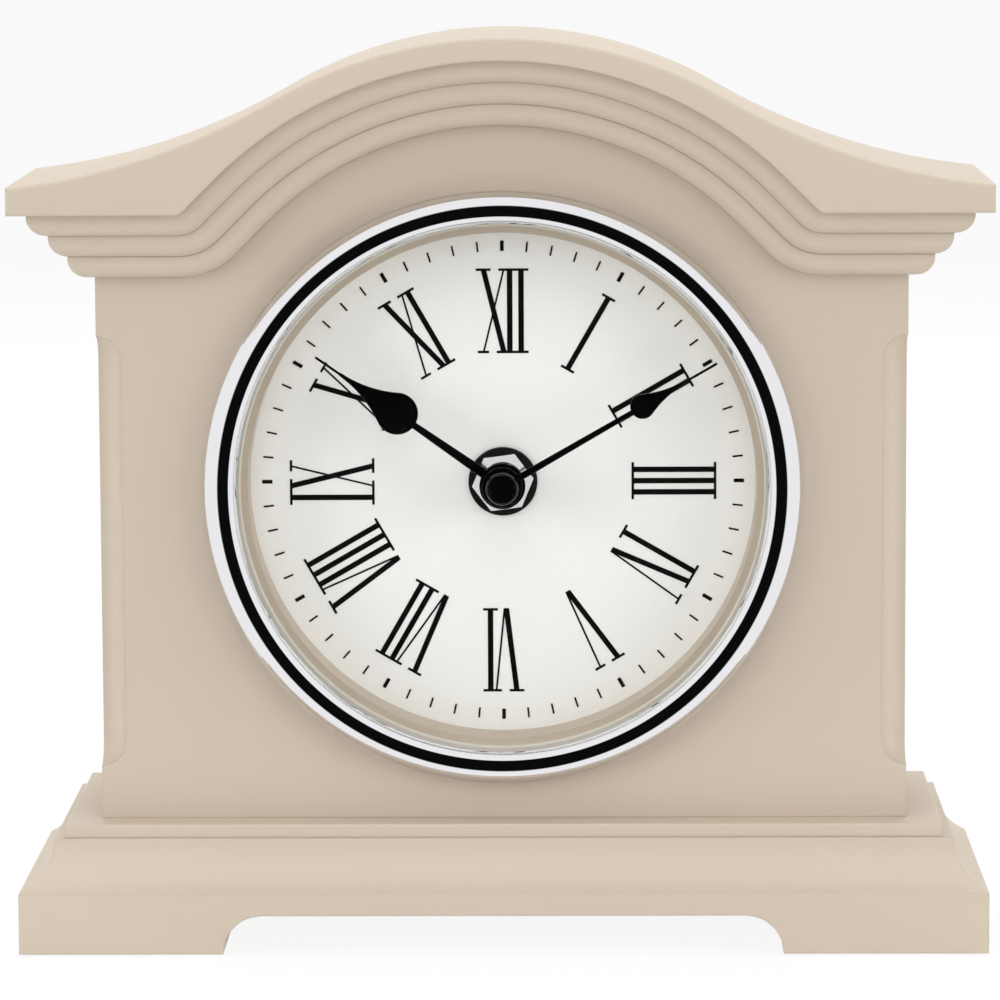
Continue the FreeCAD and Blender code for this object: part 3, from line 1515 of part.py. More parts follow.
def make_motor():
    """Stator around the rotor magnet, and the coil wound on its upper bar."""
    outline = rectangle(stator_left, stator_right, stator_low, stator_top)
    body = slice_body("stator_body", "y", outline, stator_front, stator_back)
    window = rectangle(stator_left + S.stator_bar, stator_right - S.stator_bar, stator_shelf, stator_bridge)
    cut_slice(body, "stator_window", "y", window, stator_front, stator_back)
    cut_slice(body, "stator_eye", "y", circles((*rotor_axis, eye_radius)), stator_front, stator_back)
    part(body, "stator")
    middle = (stator_left + stator_right) / 2
    left = middle - S.coil_length / 2
    right = middle + S.coil_length / 2

    def sleeve(name, start, end, growth):
        return block(
            name, (start, stator_front - growth, stator_bridge - growth),
            (end, stator_back + growth, stator_top + growth),
        )

    bar = sleeve("coil_core", left, right, 0)
    flange = S.coil_wall + S.coil_build
    spool = joined(
        "coil_spool", sleeve("coil_sleeve", left, right, S.coil_wall),
        sleeve("coil_flange_left", left, left + S.coil_wall, flange),
        sleeve("coil_flange_right", right - S.coil_wall, right, flange),
    )
    part(less("coil_bobbin_cut", spool, bar), "coil_bobbin")
    wound = sleeve("coil_wound", left + S.coil_wall, right - S.coil_wall, flange)
    inside = sleeve("coil_inside", left + S.coil_wall, right - S.coil_wall, S.coil_wall)
    part(less("coil_winding_cut", wound, inside), "coil_winding")


def make_circuit():
    """Circuit board with chip and crystal, and the aerial behind it."""
    board = block(
        "circuit_blank", (-inner_half, circuit_front, S.dial_height), (inner_half, circuit_back, gear_top)
    )
    part(board, "circuit_board")
    half = S.chip_size / 2
    height = S.dial_height + S.chip_height
    chip = block(
        "chip", (-S.chip_size, circuit_back, height - half),
        (0, circuit_back + S.chip_thickness, height + half),
    )
    crystal_depth = circuit_back + S.crystal_radius
    crystal = rod("crystal", "z", (half, crystal_depth, height - half), S.crystal_radius, S.chip_size)
    part(group("circuit_parts_group", [chip, crystal]), "circuit_parts")
    depth = (circuit_back + rear_wall) / 2
    height = S.dial_height + S.ferrite_height
    ferrite = rod("ferrite", "x", (-S.ferrite_length / 2, depth, height), S.ferrite_radius, S.ferrite_length)
    part(ferrite, "ferrite_rod")
    start = (-S.antenna_length / 2, depth, height)
    winding = rod("antenna_outer", "x", start, S.ferrite_radius + S.antenna_build, S.antenna_length)
    hollow = rod("antenna_bore", "x", start, S.ferrite_radius, S.antenna_length)
    part(less("antenna_coil_cut", winding, hollow), "antenna_coil")


def make_battery():
    """Round battery in its bay, a plate at each end and the spring at one."""
    depth = cover_back + S.battery_fit + S.battery_radius
    height = bay_floor + S.battery_fit + S.battery_radius
    plates = []
    for side in sides:
        ends = sorted((inner_half * side, (inner_half - S.contact_thickness) * side), key=plain)
        plates.append(block(
            f"contact_{side + 1}", (ends[0], depth - S.spring_radius, height - S.spring_radius),
            (ends[1], depth + S.spring_radius, height + S.spring_radius),
        ))
    nub_end = inner_half - S.contact_thickness - S.slide_fit
    nub_start = nub_end - S.battery_nub_length
    cell_start = nub_start - S.battery_length
    nub = rod("battery_nub", "x", (nub_start, depth, height), S.battery_nub_radius, S.battery_nub_length)
    cell = rod("battery_cell", "x", (cell_start, depth, height), S.battery_radius, S.battery_length)
    part(joined("battery_whole", cell, nub), "battery")
    spring_start = S.contact_thickness - inner_half
    length = cell_start - S.slide_fit - spring_start
    start = (spring_start, depth, height)
    spring = cone("spring_cone", "x", start, S.spring_radius, S.spring_tip_radius, length)
    part(group("battery_contacts_group", [*plates, spring]), "battery_contacts")


def make_buttons():
    """Two set buttons, each kept in by a flange behind the rear wall."""
    height = S.dial_height + S.button_height
    front = circuit_back + S.button_travel + S.wheel_gap
    flange_back = rear_wall - S.slide_fit
    flange_front = flange_back - S.button_flange
    for label, side in (("set_button", 1), ("search_button", -1)):
        across = S.button_spread / 2 * side
        stem = rod(label + "_stem", "y", (across, front, height), S.button_radius,
                   movement_back + S.button_rise - front)
        flange = rod(label + "_flange", "y", (across, flange_front, height),
                     S.button_radius + S.button_flange, S.button_flange)
        part(joined(label + "_whole", stem, flange), label)


make_movement_case()
make_movement_plate()
make_wheels()
make_motor()
make_circuit()
make_battery()
make_buttons()


# Every object must have worked before any piece is written

DOC.recompute()
failed = [one.Name for one in DOC.Objects if "Invalid" in one.State or "Error" in one.State]
for piece in PARTS:
    if piece.Shape.isNull() or not piece.Shape.isValid():
        failed.append(piece.Label)
if failed:
    raise RuntimeError(f"failed: {failed}")

os.makedirs("parts", exist_ok=True)
for piece in PARTS:
    piece.Shape.exportStep(f"parts/{piece.Label}.step")
print(len(PARTS), "pieces written")
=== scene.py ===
import json
import math
from itertools import product

import bmesh
import bpy
import numpy as np
from bpy.props import FloatProperty, FloatVectorProperty, IntProperty, PointerProperty
from bpy.types import Operator, Panel, PropertyGroup
from mathutils import Matrix, Vector


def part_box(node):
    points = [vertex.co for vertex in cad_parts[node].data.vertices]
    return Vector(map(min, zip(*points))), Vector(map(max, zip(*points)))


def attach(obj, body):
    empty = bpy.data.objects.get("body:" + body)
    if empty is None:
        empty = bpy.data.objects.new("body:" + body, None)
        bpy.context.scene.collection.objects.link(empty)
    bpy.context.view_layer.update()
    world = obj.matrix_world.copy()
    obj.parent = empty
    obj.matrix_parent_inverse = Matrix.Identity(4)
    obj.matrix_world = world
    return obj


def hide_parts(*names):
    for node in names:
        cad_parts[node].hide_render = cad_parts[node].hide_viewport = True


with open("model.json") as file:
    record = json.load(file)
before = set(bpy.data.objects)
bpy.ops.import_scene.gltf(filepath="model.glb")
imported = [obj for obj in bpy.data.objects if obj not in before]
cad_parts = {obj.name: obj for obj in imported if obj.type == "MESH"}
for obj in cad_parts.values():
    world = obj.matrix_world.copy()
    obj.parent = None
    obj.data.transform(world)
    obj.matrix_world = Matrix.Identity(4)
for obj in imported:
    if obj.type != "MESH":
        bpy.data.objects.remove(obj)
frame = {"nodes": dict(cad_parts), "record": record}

# A painted wooden mantel clock with an arched top and a glazed round dial.  Metres; the
# dial faces -Y and +Z is up.  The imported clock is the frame, and the pieces made here
# stand where their CAD nodes are.

bl_info = {
    "name": "Mantel clock",
    "version": (1, 0, 0),
    "blender": (4, 5, 0),
    "location": "View3D > Sidebar > Clock",
    "description": "Painted mantel clock with its bezel, glass, hands and quartz movement",
    "category": "Add Mesh",
}

MM = 0.001
TURN = 2 * math.pi
DIAGONAL = math.sqrt(0.5)
DIAL = np.array((0.0, 93.2))  # dial axis, x and z in mm
DIAL_FACE = -8.7  # front of the dial plate, y in mm
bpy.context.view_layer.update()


def linear(code):
    """sRGB hex colour as linear red, green, blue."""
    parts = np.array([int(code[i:i + 2], 16) for i in (0, 2, 4)]) / 255
    return tuple(np.where(parts <= 0.04045, parts / 12.92, ((parts + 0.055) / 1.055) ** 2.4))


def per_mm(size):
    """Texture scale whose pattern is about this many millimetres across."""
    return 1 / (size * MM)


# Settings


def colour(name, note, code):
    """Colour setting with an sRGB hex default."""
    return FloatVectorProperty(name=name, description=note, default=linear(code), size=3, subtype="COLOR")


def length(name, note, size):
    """Length setting with a default in mm."""
    return FloatProperty(name=name, description=note, default=size * MM, unit="LENGTH", precision=5)


def amount(name, note, start):
    """Setting of a lamp or of the surround, never below zero."""
    return FloatProperty(name=name, description=note, default=start, min=0)


def tilt(name, note, degrees):
    """Angle setting with a default in degrees."""
    start = math.radians(degrees)
    return FloatProperty(name=name, description=note, default=start, subtype="ANGLE", unit="ROTATION")


class ClockPaint(PropertyGroup):
    body: colour("Paint", "Satin paint of the wooden case", "c7b9a8")
    wood: colour("Bare wood", "Unpainted wood inside the case", "c9a77c")
    board: colour("Back board", "Plain fibreboard of the back", "a9835c")
    edge: length("Edge round", "Softened edges under the paint", 0.45)
    peel: length("Orange peel", "Width of the faint orange peel in the sprayed paint", 0.9)
    arch_steps: IntProperty(name="Arch steps", description="Stations along the arch", default=390, min=24)
    crown_edge: length("Crown edge", "Softened edges of the crown board", 0.6)
    ovolo: length("Ovolo", "Quarter round of each moulding", 4.0)


class ClockDial(PropertyGroup):
    enamel: colour("Dial", "White lacquer of the dial plate", "fdfdfb")
    ink: colour("Print", "Black of the numerals and marks", "040404")
    hands: colour("Hands", "Black lacquer of the hands", "020202")


class ClockMetal(PropertyGroup):
    chrome: colour("Chrome", "Polished plating of bezel and nut", "e9e9ec")
    brass: colour("Brass", "Hinges and screws", "c9a85c")
    steel: colour("Steel", "Zinc-plated steel", "b9bcbf")
    glass_dome: length("Glass rise", "Rise of the domed glass", 7.0)
    ring_steps: IntProperty(name="Ring steps", description="Stations round the bezel", default=288, min=24)


class ClockStage(PropertyGroup):
    lens: FloatProperty(name="Lens", description="Focal length on a 36 mm sensor, in mm", default=187.51)
    camera: FloatVectorProperty(name="Camera", description="Where the camera stands", size=3,
                                default=(0.01563, -1.05829, 0.2255), subtype="TRANSLATION", unit="LENGTH")
    pitch: tilt("Pitch", "How far the camera looks down", 7.392)
    yaw: tilt("Yaw", "How far the camera looks to the left", 0.887)
    roll: tilt("Roll", "How far the camera leans", -0.274)
    daylight: amount("Surround", "Strength of the pale surround", 0.32)
    bounce: amount("Bounce", "Strength of the surround below the table", 0.45)
    front: amount("Front box", "Power of the broad lamp in front, in W", 4.6)
    key: amount("Key box", "Power of the high lamp in front, in W", 5.6)
    low: amount("Low box", "Power of the low lamp in front, in W", 4.2)
    top: amount("Top box", "Power of the lamp above, in W", 4.0)
    sides: amount("Side boxes", "Power of each side lamp, in W", 6.2)
    back: amount("Back box", "Power of the lamp behind, in W", 7.0)
    floor: colour("Floor", "Pale floor", "ffffff")


GROUPS = {
    "clock_paint": ClockPaint, "clock_dial": ClockDial, "clock_metal": ClockMetal, "clock_stage": ClockStage,
}


# Meshes


def placed(name, data):
    """New object in the scene."""
    made = bpy.data.objects.new(name, data)
    bpy.context.scene.collection.objects.link(made)
    return made


def mesh_object(name, points, faces, sharp=30.0):
    """Object from points in mm and their faces.  Points that meet are merged, faces look outwards, and
    edges past the sharp angle stay crisp."""
    mesh = bpy.data.meshes.new(name)
    mesh.from_pydata(np.asarray(points, float) * MM, [], faces)
    shape = bmesh.new()
    shape.from_mesh(mesh)
    bmesh.ops.remove_doubles(shape, verts=shape.verts, dist=0.001 * MM)
    bmesh.ops.recalc_face_normals(shape, faces=shape.faces)
    shape.to_mesh(mesh)
    shape.free()
    mesh.shade_smooth()
    mesh.set_sharp_from_angle(angle=math.radians(sharp))
    return placed(name, mesh)


def strip(one, other):
    """Quads between two rows of point numbers."""
    return np.stack((one[:-1], one[1:], other[1:], other[:-1]), -1).tolist()


def grid_faces(numbers, wrap_rows=False, wrap_columns=False):
    """Quads of a grid of point numbers."""
    if wrap_rows:
        numbers = np.vstack((numbers, numbers[:1]))
    if wrap_columns:
        numbers = np.hstack((numbers, numbers[:, :1]))
    quads = np.stack((numbers[:-1, :-1], numbers[:-1, 1:], numbers[1:, 1:], numbers[1:, :-1]), -1)
    return quads.reshape(-1, 4).tolist()


def arc(centre, radius, first, last, steps):
    """Points of a round stretch: centre plus radius times cosine and sine of the angle, in degrees."""
    angle = np.radians(np.linspace(first, last, steps))
    return np.stack((centre[0] + radius * np.cos(angle), centre[1] + radius * np.sin(angle)), -1)


def spun(profile, steps, axis, along="y", closed=False):
    """Surface of revolution: at angle t, from the top clockwise, a profile point (r, s) lies r sin t and
    r cos t from the axis, and s along it.  A profile may change with t: then it has one row per angle.  A
    closed one is a ring's section; an open one starts and ends on the axis."""
    profile = np.asarray(profile, float)
    if profile.ndim == 2:
        profile = np.repeat(profile[:, None], steps, 1)
    t = np.arange(steps) / steps * TURN
    r, s = profile[..., 0], profile[..., 1]
    across, up = axis[0] + r * np.sin(t), axis[1] + r * np.cos(t)
    order = (across, s, up) if along == "y" else (s, across, up)
    points = np.stack(order, -1).reshape(-1, 3)
    return points, grid_faces(np.arange(len(points)).reshape(-1, steps), closed, True)


def ringed(rows, steps):
    """Section for spun whose rows (r, s) hold all the way round, or change with the angle."""
    return np.stack([np.stack(np.broadcast_arrays(*row, np.zeros(steps))[:2], -1) for row in rows])


def gathered(pieces):
    """Several (points, faces) as one."""
    starts = np.cumsum([0] + [len(points) for points, faces in pieces])
    faces = [[number + start for number in face] for start, (_, own) in zip(starts, pieces) for face in own]
    return np.vstack([points for points, _ in pieces]), faces


def layered(curves, setbacks, front, back):
    """Solid with a shaped front and ends.  Layer k is a curve (x, z) whose first and last points are its
    two corners; it lies at y = front + setback k, and its ends run straight back, so corners are mitred."""
    depth = front + np.asarray(setbacks, float)[:, None]
    face = np.stack((curves[..., 0], depth + 0 * curves[..., 0], curves[..., 1]), -1)
    rear = face.copy()
    rear[..., 1] = back
    rows = np.concatenate((rear[:1], face, rear[-1:]))
    ends = rear[:, [0, -1]]
    numbers = np.arange(rows.shape[0] * rows.shape[1]).reshape(rows.shape[:2])
    sides = np.arange(2 * len(ends)).reshape(-1, 2) + numbers.size
    faces = grid_faces(numbers) + strip(numbers[0], numbers[-1])
    for end in (0, -1):
        faces += strip(numbers[1:-1, end], sides[:, end])
        faces.append(sides[:, end].tolist())
    return np.vstack((rows.reshape(-1, 3), ends.reshape(-1, 3))), faces


def tube(path, radius, steps=12):
    """Round wire along a path about the X axis: at each point a circle in the plane of two directions at
    right angles to the path, drawn together to a point at each end."""
    run = np.gradient(path, axis=0)
    first = np.cross(run, (1.0, 0.0, 0.0))
    second = np.cross(run, first)
    first /= np.linalg.norm(first, axis=1)[:, None]
    second /= np.linalg.norm(second, axis=1)[:, None]
    t = (np.arange(steps) / steps * TURN)[:, None]
    shell = path[:, None] + radius * (first[:, None] * np.cos(t) + second[:, None] * np.sin(t))
    caps = np.repeat(path[[0, -1]][:, None], steps, 1)
    points = np.concatenate((caps[:1], shell, caps[1:])).reshape(-1, 3)
    return points, grid_faces(np.arange(len(points)).reshape(-1, steps), False, True)


def slotted_head(seat, facing, radius, height, turn):
    """Domed screw head with a slot, made of chords across a disc.  The chord at c is the root of R^2 - c^2
    long each way; the dome is the height less half its share of r^2 / R^2, and the slot lies below it.
    Facing is the axis that the head looks along, 1 for Y and 2 for Z, with its sign."""
    half_slot, depth = 0.12 * radius, 0.45 * height
    side = radius * np.sin(np.radians(np.linspace(8, 90, 9)))
    chord_at = np.concatenate((-side[::-1], [-half_slot] * 2, [half_slot] * 2, side))
    low = np.zeros(len(chord_at))
    low[10:12] = depth
    share = np.linspace(-1, 1, 9)
    c = chord_at[:, None] + 0 * share
    b = np.sqrt(np.maximum(radius ** 2 - c ** 2, 0)) * share
    rise = height * (1 - 0.5 * (c ** 2 + b ** 2) / radius ** 2) - low[:, None]
    c, b = np.hstack((c[:, :1], c, c[:, -1:])), np.hstack((b[:, :1], b, b[:, -1:]))
    rise = np.pad(rise, ((0, 0), (1, 1)))
    across = c * math.cos(turn) - b * math.sin(turn)
    along = c * math.sin(turn) + b * math.cos(turn)
    out = rise * np.sign(facing)
    offset = (across, out, along) if abs(facing) == 1 else (across, along, out)
    points = (np.asarray(seat, float) + np.stack(offset, -1)).reshape(-1, 3)
    return points, grid_faces(np.arange(len(points)).reshape(c.shape), False, True)


def shank(seat, facing, radius, length):
    """Plain screw shank, a profile turned about the screw's axis, with a point 1.5 radii long."""
    way = -np.sign(facing)
    profile = np.array([(0, 0), (radius, 0), (radius, length - radius * 1.5), (0, length)], float)
    x, y, z = seat
    if abs(facing) == 1:
        profile[:, 1] = y + way * profile[:, 1]
        return spun(profile, 20, (x, z))
    profile[:, 1] = z + way * profile[:, 1]
    points, faces = spun(profile, 20, (x, y))
    return points[:, [0, 2, 1]], faces


def screws(name, seats, facing, head, body, turns=(0.3, 1.2, 2.1, 0.8)):
    """Several slotted screws as one piece.  Head is (radius, height), body is (radius, length)."""
    made = []
    for number, seat in enumerate(seats):
        made.append(slotted_head(seat, facing, *head, turns[number % len(turns)]))
        made.append(shank(seat, facing, *body))
    return mesh_object(name, *gathered(made))


def box_of(node):
    """Lowest and highest corner of a CAD node at rest, in mm."""
    return tuple(np.array(corner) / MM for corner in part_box(node))


# Arch of the case.  Its curve is the underside of the crown board; the mouldings under it are the same
# curve moved inwards by a drop.

ARCH_RADIUS = 80.0
ARCH_CENTRE = 99.4  # height of the centre of the round
HEEL_RADIUS = 2.0
HEEL_HEIGHT = 151.3  # height of the centre of the heel
HEEL_PLACE = (ARCH_RADIUS + HEEL_RADIUS) / DIAGONAL - (HEEL_HEIGHT - ARCH_CENTRE)
MOULDING = 4.45  # drop of each moulding
CROWN_RADIUS = 88.5
CROWN_CENTRE = 95.4  # height of the centre of the round
CROWN_TURN = math.radians(30)  # how far the round goes each way
FLARE_RADIUS = 133.5


def arch_height(x, drop):
    """Height of the arch at x: a round over the dial, a straight stretch at 45 degrees, a hollow heel and a
    level shoulder."""
    x = np.abs(x)
    radius, heel = ARCH_RADIUS - drop, HEEL_RADIUS + drop
    run = HEEL_PLACE - x
    top = ARCH_CENTRE + np.sqrt(np.maximum(radius ** 2 - x ** 2, 0))
    slope = ARCH_CENTRE + radius / DIAGONAL - x
    hollow = HEEL_HEIGHT - np.sqrt(np.maximum(heel ** 2 - run ** 2, 0))
    places = (x < radius * DIAGONAL, run > heel * DIAGONAL, run > 0)
    return np.select(places, (top, slope, hollow), HEEL_HEIGHT - heel)


def crown_height(x, inset):
    """Top of the crown board at x: a round over the dial, then a hollow that leaves it without a corner and
    flares out to the tips, both moved in by the inset."""
    x = np.abs(x)
    radius = CROWN_RADIUS - inset
    across = (CROWN_RADIUS + FLARE_RADIUS) * math.sin(CROWN_TURN)
    high = CROWN_CENTRE + (CROWN_RADIUS + FLARE_RADIUS) * math.cos(CROWN_TURN)
    top = CROWN_CENTRE + np.sqrt(np.maximum(radius ** 2 - x ** 2, 0))
    hollow = high - np.sqrt((FLARE_RADIUS + inset) ** 2 - (across - x) ** 2)
    return np.where(x < radius * math.sin(CROWN_TURN), top, hollow)


# Materials


def add_node(tree, kind, inputs=None, **settings):
    """Adds a node; each input is a value or another node's socket."""
    made = tree.nodes.new(kind)
    for key, value in settings.items():
        setattr(made, key, value)
    for key, value in (inputs or {}).items():
        if isinstance(value, bpy.types.NodeSocket):
            tree.links.new(value, made.inputs[key])
        else:
            made.inputs[key].default_value = value
    return made


def rgba(tone):
    """Tone with full opacity, as colour sockets take it."""
    return (*tone, 1.0)


WHITE = rgba((1.0, 1.0, 1.0))


def blank_tree(owner):
    """Emptied node tree of a material or a world."""
    owner.use_nodes = True
    owner.node_tree.nodes.clear()
    return owner.node_tree


def new_material(name, inputs):
    """Principled material with its Object coordinates."""
    material = bpy.data.materials.new(name)
    tree = blank_tree(material)
    shader = add_node(tree, "ShaderNodeBsdfPrincipled", inputs)
    add_node(tree, "ShaderNodeOutputMaterial", {"Surface": shader.outputs[0]})
    place = add_node(tree, "ShaderNodeTexCoord").outputs["Object"]
    return material, tree, shader, place


def vary(tree, tone, factor, share):
    """A tone that drifts to a darker one by share where the factor is high."""
    darker = tuple(part * (1 - share) for part in tone)
    mix = add_node(tree, "ShaderNodeMix", {0: factor, 6: rgba(tone), 7: rgba(darker)}, data_type="RGBA")
    return mix.outputs[2]


def noise(tree, place, size, detail=2.0):
    """Soft cloudy pattern of a size in mm."""
    inputs = {"Vector": place, "Scale": per_mm(size), "Detail": detail}
    return add_node(tree, "ShaderNodeTexNoise", inputs).outputs["Fac"]


def spread(tree, factor, low, high):
    """The factor moved to run from low to high."""
    return add_node(tree, "ShaderNodeMapRange", {"Value": factor, "To Min": low, "To Max": high}).outputs[0]


def relief(tree, shader, height, depth, normal=None):
    """Bump of a depth in mm."""
    inputs = {"Height": height, "Distance": depth * MM, "Strength": 1.0}
    if normal is not None:
        inputs["Normal"] = normal
    bump = add_node(tree, "ShaderNodeBump", inputs)
    tree.links.new(bump.outputs[0], shader.inputs["Normal"])


def paint_material(name, tone, edge, size):
    """Satin paint sprayed on smooth wood: a soft even sheen, an orange peel of a size in mm, and corners that
    the coats have rounded."""
    material, tree, shader, place = new_material(name, {"Roughness": 0.5, "IOR": 1.48})
    drift = noise(tree, place, 60.0)
    tree.links.new(vary(tree, tone, drift, 0.035), shader.inputs["Base Color"])
    peel = noise(tree, place, size, 3.0)
    tree.links.new(spread(tree, peel, 0.44, 0.56), shader.inputs["Roughness"])
    soft = add_node(tree, "ShaderNodeBevel", {"Radius": edge}, samples=4).outputs[0]
    relief(tree, shader, peel, 0.012, soft)
    return material


def wood_material(name, tone, grain, contrast):
    """Planed beech: fine fibres that run long along Z, with flecks of the grain's width in mm across."""
    material, tree, shader, place = new_material(name, {"Roughness": 0.68, "IOR": 1.5})
    stretched = add_node(tree, "ShaderNodeMapping", {"Vector": place, "Scale": (1.0, 1.0, 0.08)}).outputs[0]
    fibre = noise(tree, stretched, grain, 6.0)
    tree.links.new(vary(tree, tone, fibre, contrast), shader.inputs["Base Color"])
    relief(tree, shader, fibre, 0.03)
    return material


def board_material(name, tone):
    """Hard-pressed fibreboard: brown felted fibres with darker specks, drawn at 0.7 mm so that they show."""
    material, tree, shader, place = new_material(name, {"Roughness": 0.75, "IOR": 1.5})
    fibre = noise(tree, place, 0.7, 5.0)
    tree.links.new(vary(tree, tone, fibre, 0.35), shader.inputs["Base Color"])
    relief(tree, shader, fibre, 0.02)
    return material


def metal_material(name, tone, roughness, scratch, depth):
    """Metal whose finish is a fine pattern of scratches or polishing marks of a size in mm."""
    inputs = {"Base Color": rgba(tone), "Metallic": 1.0, "Roughness": roughness}
    material, tree, shader, place = new_material(name, inputs)
    marks = noise(tree, place, scratch, 4.0)
    tree.links.new(spread(tree, marks, roughness * 0.7, roughness * 1.3), shader.inputs["Roughness"])
    if depth:
        relief(tree, shader, marks, depth)
    return material


def plastic_material(name, tone, roughness, grain, depth, drift=0.04):
    """Moulded plastic, rubber, felt or lacquer: one tone that drifts a little, with the fine texture that the
    mould or the coat leaves, of a grain and a depth in mm."""
    material, tree, shader, place = new_material(name, {"IOR": 1.49})
    texture = noise(tree, place, grain, 3.0)
    tree.links.new(vary(tree, tone, noise(tree, place, 9.0), drift), shader.inputs["Base Color"])
    tree.links.new(spread(tree, texture, roughness * 0.88, roughness * 1.12), shader.inputs["Roughness"])
    relief(tree, shader, texture, depth)
    return material


def wound_material(name, tone, pitch):
    """Enamelled copper wire in close turns along X, drawn coarser than the real wire, at the pitch in mm, so
    that the turns show.  The bands darken the colour between the turns as painted shade, and also bump it.
    A band wave of scale 1 repeats every twentieth of a metre."""
    material, tree, shader, place = new_material(name, {"Metallic": 1.0, "Roughness": 0.32})
    inputs = {"Vector": place, "Scale": per_mm(pitch) / 20, "Distortion": 0.0}
    turns = add_node(tree, "ShaderNodeTexWave", inputs, wave_type="BANDS", bands_direction="X").outputs["Fac"]
    # painted shade: the wire's colour is darkened in bands between its turns
    tree.links.new(vary(tree, tone, turns, 0.35), shader.inputs["Base Color"])
    relief(tree, shader, turns, 0.05)
    return material


def glass_material(name):
    """Clear float glass, sagged to a dome: seen straight through, with a gloss that grows to the rim.  Both
    faces reflect as glass of index 1.5 met from the air, and lamps pass it, so that the dial is lit."""
    material = bpy.data.materials.new(name)
    tree = blank_tree(material)
    clear = add_node(tree, "ShaderNodeBsdfTransparent", {"Color": (0.997, 1.0, 0.997, 1.0)})
    gloss = add_node(tree, "ShaderNodeBsdfGlossy", {"Color": WHITE, "Roughness": 0.0})
    behind = add_node(tree, "ShaderNodeNewGeometry").outputs["Backfacing"]
    way = add_node(tree, "ShaderNodeMath", {0: behind, 1: -2.0, 2: 1.0}, operation="MULTIPLY_ADD")
    index = add_node(tree, "ShaderNodeMath", {0: 1.5, 1: way.outputs[0]}, operation="POWER")
    rim = add_node(tree, "ShaderNodeFresnel", {"IOR": index.outputs[0]})
    path = add_node(tree, "ShaderNodeLightPath")
    lit = add_node(tree, "ShaderNodeMath", {0: 1.0, 1: path.outputs["Is Shadow Ray"]}, operation="SUBTRACT")
    share = add_node(tree, "ShaderNodeMath", {0: rim.outputs[0], 1: lit.outputs[0]}, operation="MULTIPLY")
    mix = add_node(tree, "ShaderNodeMixShader", {0: share.outputs[0], 1: clear.outputs[0], 2: gloss.outputs[0]})
    add_node(tree, "ShaderNodeOutputMaterial", {"Surface": mix.outputs[0]})
    return material


